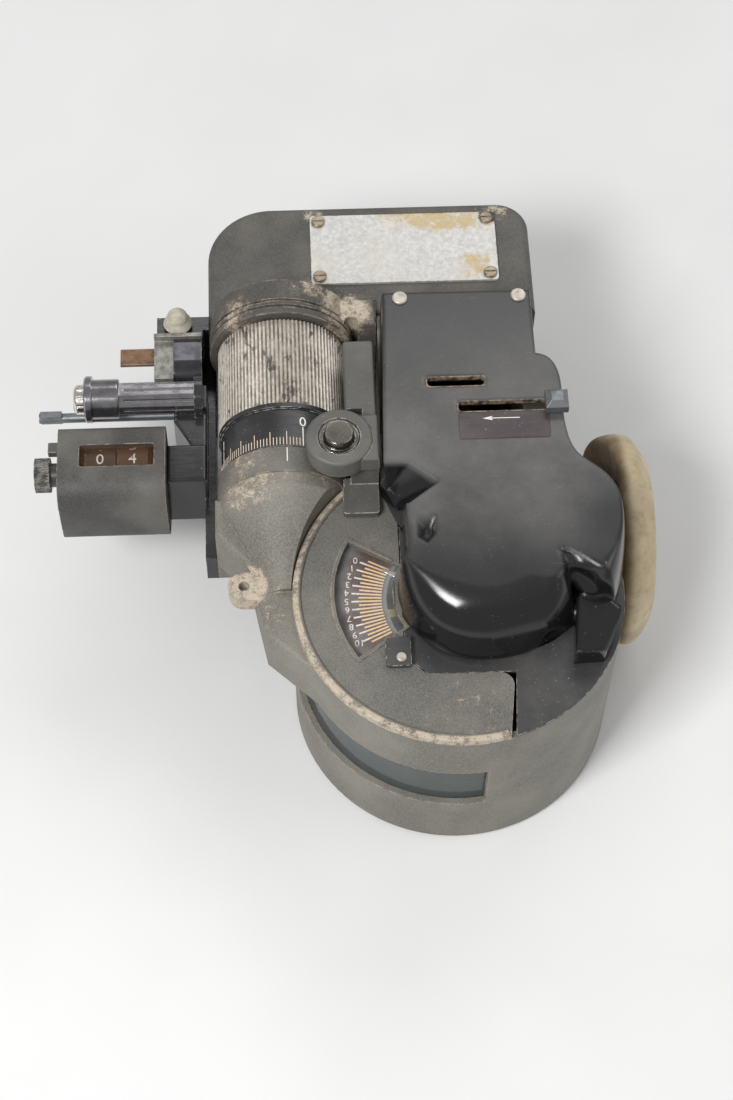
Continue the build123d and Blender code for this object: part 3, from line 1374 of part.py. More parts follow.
def clock_wheel():
    """Second arbor of the averager with its pinion and wheel."""
    x, y = wheel_place()
    half_tooth = 360 / wheel_teeth / 2
    pinion = Pos(x, y, barrel_z0) * Rot(0, 0, 180 + half_tooth) * clock_gear(wheel_teeth, clock_gear_t)
    fly = cyl_z(5.0, barrel_z0 + clock_gear_t + 2, barrel_z0 + clock_gear_t + 4.5, x, y)
    pin = cyl_z(wheel_arbor_r, clock_low_z + 0.4, barrel_z0 + barrel_h + 1.2, x, y)
    return pinion + fly + pin


def clock_frame():
    """Two plates on pillars that carry the averager's arbors."""
    x, y = wheel_place()
    low = clock_low_z
    high = barrel_z0 + barrel_h + 0.8
    frame = None
    for z in (low, high):
        plate = block(arbor_x - 20, x + 9, arbor_y - 16, arbor_y + 16, z, z + clock_plate_t)
        plate -= cyl_z(arbor_r + run_gap, z - 1, z + 5, arbor_x, arbor_y)
        plate -= cyl_z(wheel_arbor_r + run_gap, z - 1, z + 5, x, y)
        frame = plate if frame is None else frame + plate
    for px in (arbor_x - 17.5, x + 6.5):
        for py in (arbor_y - 13.5, arbor_y + 13.5):
            frame += cyl_z(2.0, low, high + 1, px, py)
    stand = base_z1 - base_wall
    for px in (arbor_x - 17.5, x + 6.5):
        frame += cyl_z(2.4, high + 1, stand, px, arbor_y + 13.5)
        frame += cyl_z(2.4, high + 1, stand, px, arbor_y - 13.5)
    return frame


makers = [
    main_casting, side_plate, bearing_plate, dial_glass, degree_scale, window_glass,
    bearing_bushes, prism_carrier, index_prism, worm_sector, index_pointer,
    worm, drum_shaft, drum_grip, altitude_scale, index_ring,
    base_housing, base_cover, name_plate, housing_screws, side_cover, side_cover_screws,
    lamp_arm, lamp_arm_nut, scale_lamp_bulb, lamp_bracket,
    eyepiece_tube, field_lens, eyepiece_cell, eye_lens, focus_ring, eyecup,
    objective_cell, objective_lenses, beam_splitter, bubble_cell, bubble_glass, bubble_knob,
    shade_wheel, shade_glasses, astigmatizer_slide, astigmatizer_lens, astigmatizer_rail,
    front_bracket, counter_housing, counter_window, unit_wheel, tens_wheel, counter_knob,
    lamp_tube, rheostat_knob, trigger_rod, lamp_housing, flange_plate, switch_body,
    switch_button, clock_frame, mainspring_barrel, winding_key, clock_wheel,
]

os.makedirs("parts", exist_ok=True)
for maker in makers:
    solid = maker()
    export_step(solid, f"parts/{maker.__name__}.step")
    print(maker.__name__, len(solid.solids()))
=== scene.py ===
import bpy
import math
from mathutils import Matrix, Vector


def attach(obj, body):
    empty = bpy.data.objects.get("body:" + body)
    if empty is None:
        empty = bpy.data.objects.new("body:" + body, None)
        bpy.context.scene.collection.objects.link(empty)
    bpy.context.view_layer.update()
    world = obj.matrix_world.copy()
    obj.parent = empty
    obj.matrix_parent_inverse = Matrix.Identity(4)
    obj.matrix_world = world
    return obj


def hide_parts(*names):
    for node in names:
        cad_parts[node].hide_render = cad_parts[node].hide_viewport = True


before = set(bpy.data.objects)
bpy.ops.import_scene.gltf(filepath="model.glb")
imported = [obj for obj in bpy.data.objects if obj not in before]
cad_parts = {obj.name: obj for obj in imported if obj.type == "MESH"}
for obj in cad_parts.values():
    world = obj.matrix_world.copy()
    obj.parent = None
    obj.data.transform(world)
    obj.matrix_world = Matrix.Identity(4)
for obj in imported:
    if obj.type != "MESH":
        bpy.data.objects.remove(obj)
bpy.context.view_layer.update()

MM = 0.001

# Places of the model that marks and wear follow, in millimetres, as the CAD part has them.
DRUM_X = -49.0
DRUM_Z = 58.5
BAND_R = 18.7
RING_R = 19.9
COVER_TOP = 84.0
SCALE_TOP = 62.2
EYE_Y = 34.0
OPTIC_Z = 35.0
CUP_X = 51.7
COUNTER_Y = 50.0
COUNTER_Z = 55.7
WHEEL_R = 8.3
MARK_H = 0.04

# Camera: the photograph's place and direction, with a longer lens aimed at the instrument.
CAMERA_AT = Vector((-0.0436, -0.3192, 0.6385))
CAMERA_AIM = Vector((-0.025, 0.030, 0.040))
CAMERA_ROLL = math.radians(0.9)
FOCAL_PX = 2295.0
PHOTO_H = 1100.0
SENSOR_MM = 36.0


def make_camera():
    data = bpy.data.cameras.new("camera")
    data.sensor_fit = "VERTICAL"
    data.sensor_height = SENSOR_MM
    data.lens = FOCAL_PX / PHOTO_H * SENSOR_MM
    data.clip_start = 0.01
    cam = bpy.data.objects.new("camera", data)
    bpy.context.scene.collection.objects.link(cam)
    forward = (CAMERA_AIM - CAMERA_AT).normalized()
    level = forward.cross(Vector((0, 0, 1))).normalized()
    down = forward.cross(level)
    right = math.cos(CAMERA_ROLL) * level - math.sin(CAMERA_ROLL) * down
    down = math.sin(CAMERA_ROLL) * level + math.cos(CAMERA_ROLL) * down
    turn = Matrix((right, -down, -forward)).transposed()
    cam.matrix_world = Matrix.Translation(CAMERA_AT) @ turn.to_4x4()
    bpy.context.scene.camera = cam


class Shader:
    """A material whose textures follow the piece's own coordinates, in metres."""

    def __init__(self, name):
        self.mat = bpy.data.materials.new(name)
        self.mat.use_nodes = True
        self.tree = self.mat.node_tree
        self.out = self.tree.nodes["Principled BSDF"]
        self.place = self.add("ShaderNodeTexCoord").outputs["Object"]

    def add(self, kind, **settings):
        node = self.tree.nodes.new(kind)
        for key, value in settings.items():
            setattr(node, key, value)
        return node

    def put(self, value, socket):
        if isinstance(value, bpy.types.NodeSocket):
            self.tree.links.new(value, socket)
        else:
            socket.default_value = value

    def noise(self, scale, detail=4.0, rough=0.55, warp=0.0, place=None):
        node = self.add("ShaderNodeTexNoise")
        self.put(place or self.place, node.inputs["Vector"])
        self.put(scale, node.inputs["Scale"])
        self.put(detail, node.inputs["Detail"])
        self.put(rough, node.inputs["Roughness"])
        self.put(warp, node.inputs["Distortion"])
        return node.outputs["Fac"]

    def cells(self, scale, feature="F1"):
        node = self.add("ShaderNodeTexVoronoi", feature=feature)
        self.put(self.place, node.inputs["Vector"])
        self.put(scale, node.inputs["Scale"])
        return node.outputs["Distance"]

    def stretched(self, x, y, z):
        node = self.add("ShaderNodeMapping")
        self.put(self.place, node.inputs["Vector"])
        self.put((x, y, z), node.inputs["Scale"])
        return node.outputs["Vector"]

    def math(self, operation, a, b=0.0):
        node = self.add("ShaderNodeMath", operation=operation)
        self.put(a, node.inputs[0])
        self.put(b, node.inputs[1])
        return node.outputs[0]

    def ramp(self, value, low, high, to_low=0.0, to_high=1.0):
        node = self.add("ShaderNodeMapRange", interpolation_type="SMOOTHSTEP", clamp=True)
        self.put(value, node.inputs["Value"])
        self.put(low, node.inputs["From Min"])
        self.put(high, node.inputs["From Max"])
        self.put(to_low, node.inputs["To Min"])
        self.put(to_high, node.inputs["To Max"])
        return node.outputs["Result"]

    def mix(self, fac, a, b):
        node = self.add("ShaderNodeMix", data_type="RGBA")
        self.put(fac, node.inputs["Factor"])
        self.put(rgb(a), node.inputs[6])
        self.put(rgb(b), node.inputs[7])
        return node.outputs[2]

    def both(self, a, b):
        return self.math("MULTIPLY", a, b)

    def either(self, a, b):
        return self.math("MAXIMUM", a, b)

    def edge(self, radius_mm, low=0.02, high=0.2):
        """1 where the surface turns sharply within this radius."""
        bevel = self.add("ShaderNodeBevel", samples=6)
        self.put(radius_mm * MM, bevel.inputs["Radius"])
        normal = self.add("ShaderNodeNewGeometry").outputs["Normal"]
        dot = self.add("ShaderNodeVectorMath", operation="DOT_PRODUCT")
        self.put(bevel.outputs["Normal"], dot.inputs[0])
        self.put(normal, dot.inputs[1])
        return self.ramp(self.math("SUBTRACT", 1.0, dot.outputs["Value"]), low, high)

    def near(self, point_mm, radius_mm, soft_mm, squeeze=(1, 1, 1)):
        """1 inside a ball about this point, fading out over the soft width."""
        shift = self.add("ShaderNodeVectorMath", operation="SUBTRACT")
        self.put(self.place, shift.inputs[0])
        self.put(tuple(v * MM for v in point_mm), shift.inputs[1])
        scale = self.add("ShaderNodeVectorMath", operation="MULTIPLY")
        self.put(shift.outputs[0], scale.inputs[0])
        self.put(squeeze, scale.inputs[1])
        size = self.add("ShaderNodeVectorMath", operation="LENGTH")
        self.put(scale.outputs[0], size.inputs[0])
        return self.ramp(size.outputs["Value"], (radius_mm + soft_mm) * MM, radius_mm * MM)

    def axis(self, name):
        node = self.add("ShaderNodeSeparateXYZ")
        self.put(self.place, node.inputs[0])
        return node.outputs[name]

    def radius_about(self, point_mm, keep):
        """Distance from a line through this point, along the direction that keep leaves out."""
        shift = self.add("ShaderNodeVectorMath", operation="SUBTRACT")
        self.put(self.place, shift.inputs[0])
        self.put(tuple(v * MM for v in point_mm), shift.inputs[1])
        flat = self.add("ShaderNodeVectorMath", operation="MULTIPLY")
        self.put(shift.outputs[0], flat.inputs[0])
        self.put(keep, flat.inputs[1])
        size = self.add("ShaderNodeVectorMath", operation="LENGTH")
        self.put(flat.outputs[0], size.inputs[0])
        return size.outputs["Value"]

    def between(self, axis, low_mm, high_mm, soft_mm=0.2):
        """1 where the coordinate lies between these values."""
        value = self.axis(axis)
        rise = self.ramp(value, (low_mm - soft_mm) * MM, low_mm * MM)
        fall = self.ramp(value, (high_mm + soft_mm) * MM, high_mm * MM)
        return self.both(rise, fall)

    def bump(self, height, depth_mm, strength=1.0, round_mm=0.0):
        node = self.add("ShaderNodeBump")
        self.put(height, node.inputs["Height"])
        self.put(depth_mm * MM, node.inputs["Distance"])
        self.put(strength, node.inputs["Strength"])
        if round_mm:
            bevel = self.add("ShaderNodeBevel", samples=6)
            self.put(round_mm * MM, bevel.inputs["Radius"])
            self.put(bevel.outputs["Normal"], node.inputs["Normal"])
        self.put(node.outputs["Normal"], self.out.inputs["Normal"])

    def finish(self, color, roughness, metallic=0.0, **sockets):
        self.put(rgb(color), self.out.inputs["Base Color"])
        self.put(roughness, self.out.inputs["Roughness"])
        self.put(metallic, self.out.inputs["Metallic"])
        for key, value in sockets.items():
            self.put(value, self.out.inputs[key.replace("_", " ")])
        return self.mat


def rgb(color):
    return (*color, 1.0) if isinstance(color, tuple) and len(color) == 3 else color


DUST = (0.30, 0.28, 0.24)
PRIMER = (0.25, 0.20, 0.15)
WORN = (0.50, 0.42, 0.32)
BARE = (0.62, 0.57, 0.49)


def scaled(color, factor):
    return tuple(min(1.0, c * factor) for c in color)


def crackle_paint(name, base, patches=(), dust=0.35, edge_mm=0.8, grain=2100.0, more=None):
    """Wrinkled black paint with dust in it, rubbed through to primer and then to metal.

    Each patch is a point, a radius, a soft width, a squeeze and how far it is rubbed: 0 is not at all.
    """
    s = Shader(name)
    wrinkle = s.cells(grain, "SMOOTH_F1")
    fine = s.noise(2600.0, 3.0)
    broad = s.noise(45.0, 4.0, 0.55)
    spots = s.noise(340.0, 6.0, 0.72)
    color = s.mix(s.ramp(wrinkle, 0.15, 0.60), scaled(base, 1.12), scaled(base, 0.72))
    color = s.mix(s.both(s.ramp(broad, 0.30, 0.75), dust), color, DUST)
    color = s.mix(s.both(s.ramp(fine, 0.56, 0.80), 0.16), color, DUST)
    grainy = s.math("ADD", s.both(spots, 0.65), s.both(fine, 0.35))
    worn = s.both(s.edge(edge_mm), s.ramp(grainy, 0.40, 0.60))
    if more:
        worn = s.either(worn, s.both(more(s), s.ramp(grainy, 0.36, 0.58, 0.25, 1.0)))
    loose = s.both(s.math("SUBTRACT", grainy, 0.5), 2.6)
    for point, radius, soft, squeeze, strength in patches:
        rub = s.both(s.near(point, radius, soft, squeeze), 0.5 * strength)
        worn = s.either(worn, s.ramp(s.math("ADD", rub, loose), 0.14, 0.78))
    tone = s.mix(s.ramp(worn, 0.25, 0.85), PRIMER, WORN)
    tone = s.mix(s.both(s.ramp(s.noise(1100.0, 4.0, 0.7), 0.55, 0.70), s.ramp(worn, 0.5, 0.9)), tone, BARE)
    color = s.mix(worn, color, tone)
    height = s.math("SUBTRACT", s.both(fine, 0.25), s.both(wrinkle, s.ramp(worn, 0.2, 1.0, 0.8, 0.25)))
    s.bump(height, 0.14, 0.7, 0.35)
    return s.finish(color, s.ramp(worn, 0.0, 1.0, 0.58, 0.42))


def smooth_black(name, base=(0.035, 0.035, 0.036), rough=0.3, dust=0.25, edge_mm=0.5, worn_edge=0.55):
    """Smooth black paint with dust, fine scratches and rubbed edges."""
    s = Shader(name)
    broad = s.noise(40.0, 4.0, 0.6)
    specks = s.ramp(s.noise(1500.0, 2.0, 0.5), 0.68, 0.76)
    streak = s.noise(150.0, 3.0, 0.6, 0.0, s.stretched(1.0, 9.0, 1.0))
    color = s.mix(s.both(s.ramp(broad, 0.35, 0.8), dust), base, DUST)
    color = s.mix(s.both(specks, 0.6), color, (0.42, 0.40, 0.36))
    worn = s.both(s.edge(edge_mm), s.ramp(s.noise(500.0, 4.0, 0.7), 1.0 - worn_edge, 1.15 - worn_edge))
    color = s.mix(worn, color, BARE)
    s.bump(s.noise(700.0, 2.0), 0.02, 0.4, 0.4)
    return s.finish(color, s.ramp(streak, 0.3, 0.8, rough, rough + 0.18))


def moulded_cover():
    """Glossy black moulding: deep gloss, grey dust with a painted sheen on top, small dents and scratches."""
    s = Shader("moulded_cover")
    dust_and_sheen_cloud = s.noise(26.0, 6.0, 0.66)
    fine = s.noise(1100.0, 3.0)
    scratch = s.ramp(s.noise(260.0, 2.0, 0.5, 0.0, s.stretched(0.25, 3.0, 1.0)), 0.74, 0.77)
    top = s.ramp(s.axis("Z"), 0.0815, 0.0840)
    # Painted sheen with dust: a grey haze on the top face, fading towards the back (+Y), towards the bulge below Y
    # 20 mm and round a spot at X 47, Y 12.
    reach = s.both(top, s.ramp(s.axis("Y"), 0.096, 0.045, 0.15, 1.0))
    reach = s.both(reach, s.ramp(s.axis("Y"), -0.004, 0.020, 0.05, 1.0))
    reach = s.both(reach, s.math("SUBTRACT", 1.0, s.near((47.0, 12.0, 84.0), 4.0, 14.0)))
    dust_and_sheen = s.both(s.ramp(dust_and_sheen_cloud, 0.25, 0.75, 0.10, 0.40), reach)
    color = s.mix(dust_and_sheen, (0.010, 0.010, 0.011), (0.29, 0.28, 0.26))
    color = s.mix(s.both(s.both(scratch, 0.2), top), color, (0.30, 0.29, 0.27))
    color = s.mix(s.both(s.ramp(fine, 0.68, 0.76), 0.3), color, (0.28, 0.27, 0.25))
    slot_walls = s.both(s.both(s.between("Y", 49.6, 53.6), s.between("X", 1.0, 31.9)), s.between("Z", 70.0, 83.85))
    slot_walls = s.either(slot_walls, s.both(
        s.both(s.between("Y", 58.6, 62.4), s.between("X", -8.0, 12.0)), s.between("Z", 70.0, 83.85)))
    color = s.mix(s.both(slot_walls, s.ramp(s.noise(500.0, 4.0), 0.35, 0.65)), color, (0.30, 0.21, 0.13))
    edge = s.both(s.edge(0.35), s.ramp(s.noise(300.0, 5.0, 0.7), 0.50, 0.66))
    color = s.mix(s.both(edge, 0.55), color, (0.36, 0.33, 0.29))
    s.bump(s.math("ADD", s.noise(60.0, 2.0), s.both(s.noise(420.0, 2.0), 0.15)), 0.10, 0.35, 1.8)
    rough = s.math("ADD", s.both(top, s.ramp(dust_and_sheen_cloud, 0.2, 0.85, 0.10, 0.22)), 0.11)
    return s.finish(color, rough)


def knurled_aluminium():
    """Bare knurled metal with black paint left between the ridges and in patches."""
    s = Shader("knurled_aluminium")
    depth = s.radius_about((DRUM_X, 0.0, DRUM_Z), (1.0, 0.0, 1.0))
    groove = s.ramp(depth, 0.01940, 0.01912)
    cloud = s.noise(120.0, 6.0, 0.75, 0.5, s.stretched(1.0, 0.55, 1.0))
    rest = s.noise(700.0, 4.0, 0.7, 0.0, s.stretched(1.0, 0.25, 1.0))
    patch = s.ramp(s.math("ADD", s.both(cloud, 0.75), s.both(rest, 0.25)), 0.535, 0.585)
    black = s.both(s.both(patch, 0.88), s.ramp(s.edge(0.5), 0.2, 1.0, 1.0, 0.7))
    tone = s.mix(s.ramp(s.noise(700.0, 4.0), 0.3, 0.7), (0.74, 0.69, 0.61), (0.54, 0.49, 0.42))
    dirt = s.both(groove, s.ramp(s.noise(200.0, 5.0, 0.7), 0.30, 0.62, 0.40, 1.0))
    tone = s.mix(dirt, tone, (0.17, 0.145, 0.115))
    color = s.mix(black, tone, (0.042, 0.038, 0.034))
    s.bump(s.math("ADD", s.noise(1500.0, 3.0), s.both(black, 0.6)), 0.05, 0.6)
    return s.finish(color, s.ramp(black, 0.0, 1.0, 0.44, 0.55), s.ramp(black, 0.0, 1.0, 0.40, 0.0))


def stained_plate():
    """Bare aluminium plate: small yellow-brown stains, a dark patch in one corner, chipped edges."""
    s = Shader("stained_plate")
    blot = s.noise(300.0, 7.0, 0.78, 0.25)
    upper = s.near((3.0, 134.5, 68.3), 5.0, 9.0, (0.45, 1.5, 1.0))
    right = s.near((12.0, 115.0, 68.3), 1.5, 6.5, (1.0, 0.8, 1.0))
    reach = s.math("ADD", blot, s.both(s.either(upper, right), 0.26))
    stain = s.ramp(reach, 0.62, 0.82)
    corner = s.near((18.0, 134.5, 68.3), 1.5, 4.0, (0.8, 1.0, 1.0))
    dark = s.ramp(s.math("ADD", s.noise(380.0, 5.0, 0.7), s.both(corner, 0.5)), 0.76, 0.84)
    edge = s.both(s.edge(0.8), s.ramp(s.noise(420.0, 5.0, 0.7), 0.50, 0.60))
    base = s.mix(s.ramp(s.noise(650.0, 6.0, 0.75), 0.30, 0.68), (0.62, 0.61, 0.59), (0.43, 0.425, 0.41))
    base = s.mix(s.both(s.ramp(s.noise(45.0, 5.0), 0.4, 0.7), 0.35), base, (0.56, 0.52, 0.43))
    color = s.mix(s.both(stain, 0.7), base, (0.60, 0.43, 0.16))
    color = s.mix(s.both(s.ramp(reach, 0.86, 0.98), 0.6), color, (0.36, 0.21, 0.06))
    color = s.mix(s.either(dark, s.both(edge, 0.7)), color, (0.07, 0.06, 0.05))
    s.bump(s.noise(900.0, 4.0), 0.03, 0.5)
    return s.finish(color, s.ramp(stain, 0.0, 1.0, 0.40, 0.6), 0.30)


def metal(name, color, rough, mottle=0.25, metallic=1.0):
    s = Shader(name)
    cloud = s.noise(320.0, 5.0, 0.65)
    dark = tuple(c * 0.45 for c in color)
    tone = s.mix(s.both(s.ramp(cloud, 0.4, 0.8), mottle * 2), color, dark)
    s.bump(s.noise(1300.0, 3.0), 0.02, 0.5, 0.25)
    return s.finish(tone, s.ramp(cloud, 0.3, 0.8, rough, rough + 0.2), metallic)


def dark_metal(name, base, rough, edge_mm=0.7, metallic=0.9):
    """Darkened metal that is rubbed bright along its edges."""
    s = Shader(name)
    cloud = s.noise(260.0, 5.0, 0.65)
    tone = s.mix(s.ramp(cloud, 0.35, 0.75), base, scaled(base, 0.55))
    rubbed = s.both(s.edge(edge_mm), s.ramp(s.noise(420.0, 5.0, 0.7), 0.40, 0.58))
    color = s.mix(s.both(rubbed, 0.85), tone, (0.66, 0.62, 0.55))
    s.bump(s.noise(1300.0, 3.0), 0.015, 0.4, 0.35)
    return s.finish(color, s.ramp(cloud, 0.3, 0.8, rough, rough + 0.12), metallic)


def aged_rubber():
    s = Shader("aged_rubber")
    cloud = s.noise(60.0, 6.0, 0.68)
    grime = s.ramp(s.noise(240.0, 6.0, 0.74), 0.50, 0.72)
    tone = s.mix(s.ramp(cloud, 0.3, 0.7), (0.60, 0.50, 0.34), (0.46, 0.36, 0.22))
    # Painted shade: behind CUP_X the bowl's back is darkened to brown, where the cover shades it.
    shaded_back = s.ramp(s.axis("X"), (CUP_X + 1.6) * MM, (CUP_X - 1.4) * MM)
    tone = s.mix(s.both(shaded_back, s.ramp(cloud, 0.3, 0.6, 0.45, 0.8)), tone, (0.15, 0.105, 0.055))
    tone = s.mix(s.both(grime, 0.35), tone, (0.17, 0.13, 0.085))
    s.bump(s.math("ADD", s.noise(800.0, 4.0), s.both(s.noise(90.0, 3.0), 0.6)), 0.07, 0.5)
    return s.finish(tone, s.ramp(cloud, 0.3, 0.7, 0.48, 0.62), Subsurface_Weight=0.05)


def pale_button():
    """Perished grey-cream rubber of the push button, darker in places at random."""
    s = Shader("pale_button")
    cloud = s.noise(300.0, 5.0, 0.7)
    tone = s.mix(s.ramp(cloud, 0.35, 0.65), (0.56, 0.53, 0.43), (0.38, 0.35, 0.27))
    s.bump(s.noise(1200.0, 4.0), 0.06, 0.5)
    return s.finish(tone, s.ramp(cloud, 0.3, 0.7, 0.55, 0.7))


def flange_metal():
    """Dull grey plate with a browned brass strip on its left."""
    s = Shader("flange_metal")
    cloud = s.noise(420.0, 5.0, 0.7)
    grey = s.mix(s.ramp(cloud, 0.35, 0.68), (0.34, 0.33, 0.30), (0.16, 0.155, 0.14))
    brass = s.mix(s.ramp(cloud, 0.35, 0.68), (0.26, 0.15, 0.09), (0.13, 0.075, 0.048))
    color = s.mix(s.between("X", -120.0, -88.0, 0.1), grey, brass)
    color = s.mix(s.both(s.edge(0.4), 0.6), color, BARE)
    s.bump(s.noise(1300.0, 3.0), 0.02, 0.5, 0.25)
    return s.finish(color, s.ramp(cloud, 0.3, 0.8, 0.34, 0.52), 0.6)


def slot_edge():
    """Brown moulding showing where the gloss is worn off round a slot."""
    s = Shader("slot_edge")
    cloud = s.noise(520.0, 5.0, 0.7)
    tone = s.mix(s.ramp(cloud, 0.38, 0.62), (0.035, 0.028, 0.024), (0.30, 0.235, 0.17))
    s.bump(s.noise(900.0, 3.0), 0.02, 0.5)
    return s.finish(tone, s.ramp(cloud, 0.3, 0.7, 0.25, 0.5))


def clear_glass(name, tint, alpha, rough=0.04):
    """Glass that shows what lies behind it, with smears; alpha is how much of its tint covers."""
    s = Shader(name)
    smear = s.noise(130.0, 4.0, 0.6)
    alpha_map = s.ramp(smear, 0.3, 0.8, alpha, alpha + 0.10)
    s.mat.surface_render_method = "BLENDED"
    return s.finish(tint, s.ramp(smear, 0.3, 0.8, rough, rough + 0.12), Alpha=alpha_map)


def lens_glass():
    s = Shader("lens_glass")
    smear = s.noise(90.0, 3.0)
    return s.finish((0.96, 0.97, 0.98), s.ramp(smear, 0.3, 0.8, 0.0, 0.04),
                    Transmission_Weight=1.0, IOR=1.5)


def scale_ground():
    """Red-brown ground of the degree scale, grey towards its inner edge and on its rivets."""
    s = Shader("scale_ground")
    cloud = s.noise(500.0, 4.0)
    radius = s.radius_about((0.0, 0.0, 0.0), (1.0, 1.0, 0.0))
    inner = s.ramp(radius, 0.0222, 0.0212)
    outer = s.ramp(radius, 0.0336, 0.0342)
    rivets = s.ramp(s.axis("Z"), 0.0638, 0.0644)
    color = s.mix(s.ramp(cloud, 0.3, 0.7), (0.050, 0.016, 0.011), (0.110, 0.044, 0.028))
    color = s.mix(inner, color, (0.17, 0.175, 0.17))
    color = s.mix(outer, color, (0.060, 0.056, 0.050))
    color = s.mix(rivets, color, (0.145, 0.138, 0.122))
    return s.finish(color, 0.5)


def flat_mark(name, color, wear=0.5):
    """Paint in an engraved line or figure, a little rubbed."""
    s = Shader(name)
    rub = s.both(s.ramp(s.noise(900.0, 4.0, 0.7), 0.5, 0.7), wear)
    tone = s.mix(rub, color, tuple(c * 0.35 for c in color))
    return s.finish(tone, 0.6)


def make_piece(name, verts, faces, material, smooth=False):
    mesh = bpy.data.meshes.new(name)
    mesh.from_pydata([tuple(c * MM for c in v) for v in verts], [], faces)
    mesh.validate()
    mesh.update()
    mesh.materials.append(material)
    if smooth:
        mesh.shade_smooth()
    piece = bpy.data.objects.new(name, mesh)
    bpy.context.scene.collection.objects.link(piece)
    return piece


class Marks:
    """Many small flat marks in one mesh, raised by the height of their paint."""

    def __init__(self):
        self.verts = []
        self.faces = []

    def slab(self, base, top):
        first = len(self.verts)
        count = len(base)
        self.verts += list(base) + list(top)
        self.faces.append(tuple(first + i for i in reversed(range(count))))
        self.faces.append(tuple(first + count + i for i in range(count)))
        for i in range(count):
            j = (i + 1) % count
            self.faces.append((first + i, first + j, first + count + j, first + count + i))

    def mesh_of(self, verts, faces):
        first = len(self.verts)
        self.verts += verts
        self.faces += [tuple(first + i for i in face) for face in faces]

    def piece(self, name, material):
        return make_piece(name, self.verts, self.faces, material)


def on_drum(radius, degrees, y):
    a = math.radians(degrees)
    return (DRUM_X + radius * math.cos(a), y, DRUM_Z + radius * math.sin(a))


def drum_line(marks, radius, degrees, y0, y1, width):
    half = math.degrees(width / 2 / radius)
    corners = [(degrees - half, y0), (degrees + half, y0), (degrees + half, y1), (degrees - half, y1)]
    marks.slab(
        [on_drum(radius - MARK_H, a, y) for a, y in corners],
        [on_drum(radius + MARK_H, a, y) for a, y in corners],
    )


def figure(text, size_mm):
    """Vertices and faces of a number, centred, lying in the XY plane, with a thin body."""
    curve = bpy.data.curves.new("figure", "FONT")
    curve.body = text
    curve.size = size_mm * 1.38
    curve.align_x = "CENTER"
    curve.align_y = "CENTER"
    curve.extrude = MARK_H
    curve.resolution_u = 3
    holder = bpy.data.objects.new("figure", curve)
    bpy.context.scene.collection.objects.link(holder)
    bpy.context.view_layer.update()
    mesh = bpy.data.meshes.new_from_object(holder.evaluated_get(bpy.context.evaluated_depsgraph_get()))
    bpy.data.objects.remove(holder)
    mid_y = (max(v.co.y for v in mesh.vertices) + min(v.co.y for v in mesh.vertices)) / 2
    mid_x = (max(v.co.x for v in mesh.vertices) + min(v.co.x for v in mesh.vertices)) / 2
    verts = [(v.co.x - mid_x, v.co.y - mid_y, v.co.z) for v in mesh.vertices]
    faces = [tuple(p.vertices) for p in mesh.polygons]
    bpy.data.meshes.remove(mesh)
    return verts, faces


# Altitude drum: a tick for each two minutes, a long one for each ten, a figure for each degree
TICKS = 120
TICKS_PER_FIGURE = 30
ZERO_AT = 71.6
BAND_Y0 = 44.2
FIGURE_Y = 53.0


def drum_marks(white, amber):
    ticks = Marks()
    figures = Marks()
    step = 360.0 / TICKS
    for i in range(TICKS):
        angle = ZERO_AT + i * step
        if i % TICKS_PER_FIGURE == 0:
            drum_line(figures, BAND_R, angle, BAND_Y0 + 0.5, FIGURE_Y - 1.9, 0.34)
            verts, faces = figure(str(i // TICKS_PER_FIGURE), 3.3)
            placed = []
            for x, y, z in verts:
                lean = angle + math.degrees(x / BAND_R)
                placed.append(on_drum(BAND_R + z, lean, FIGURE_Y - y))
            figures.mesh_of(placed, faces)
        else:
            length = 4.6 if i % 5 == 0 else 2.6
            drum_line(ticks, BAND_R, angle, BAND_Y0 + 0.5, BAND_Y0 + 0.5 + length, 0.21)
    return [figures.piece("drum_figures", white), ticks.piece("drum_ticks", amber)]


def ring_mark(white):
    marks = Marks()
    drum_line(marks, RING_R, 86.7, 38.2, 42.9, 0.3)
    return marks.piece("drum_index_line", white)


def dial_line(marks, angle, r0, r1, width, z):
    a = math.radians(angle)
    along = Vector((math.cos(a), math.sin(a)))
    side = Vector((-along.y, along.x)) * width / 2
    corners = [along * r0 - side, along * r1 - side, along * r1 + side, along * r0 + side]
    marks.slab([(c.x, c.y, z) for c in corners], [(c.x, c.y, z + MARK_H) for c in corners])


# Degree scale: a figure for each ten degrees of altitude, five degrees of the arc apart
DIAL_ZERO = 155.0
DIAL_STEP = 5.0
DIAL_FIGURES = 11


def dial_marks(white, amber):
    figures = Marks()
    ticks = Marks()
    for i in range(DIAL_FIGURES):
        angle = DIAL_ZERO + i * DIAL_STEP
        dial_line(figures, angle, 28.6, 30.7, 0.50, SCALE_TOP)
        a = math.radians(angle)
        cx = 32.1 * math.cos(a)
        cy = 32.1 * math.sin(a)
        verts, faces = figure(str(i), 2.1)
        figures.mesh_of([(cx - x, cy - y, SCALE_TOP + MARK_H + z) for x, y, z in verts], faces)
    for i in range(2 * DIAL_FIGURES + 1):
        angle = DIAL_ZERO - DIAL_STEP / 2 + i * DIAL_STEP / 2
        dial_line(ticks, angle, 22.0, 28.6, 0.52, SCALE_TOP)
    return [figures.piece("dial_figures", white), ticks.piece("dial_lines", amber)]


LABEL = (2.0, 28.4, 40.2, 49.3)
LABEL_T = 0.14
LONG_SLOT = (2.2, 31.8, 49.9, 53.3)
SMALL_SLOT = (-6.5, 10.5, 58.9, 62.1)


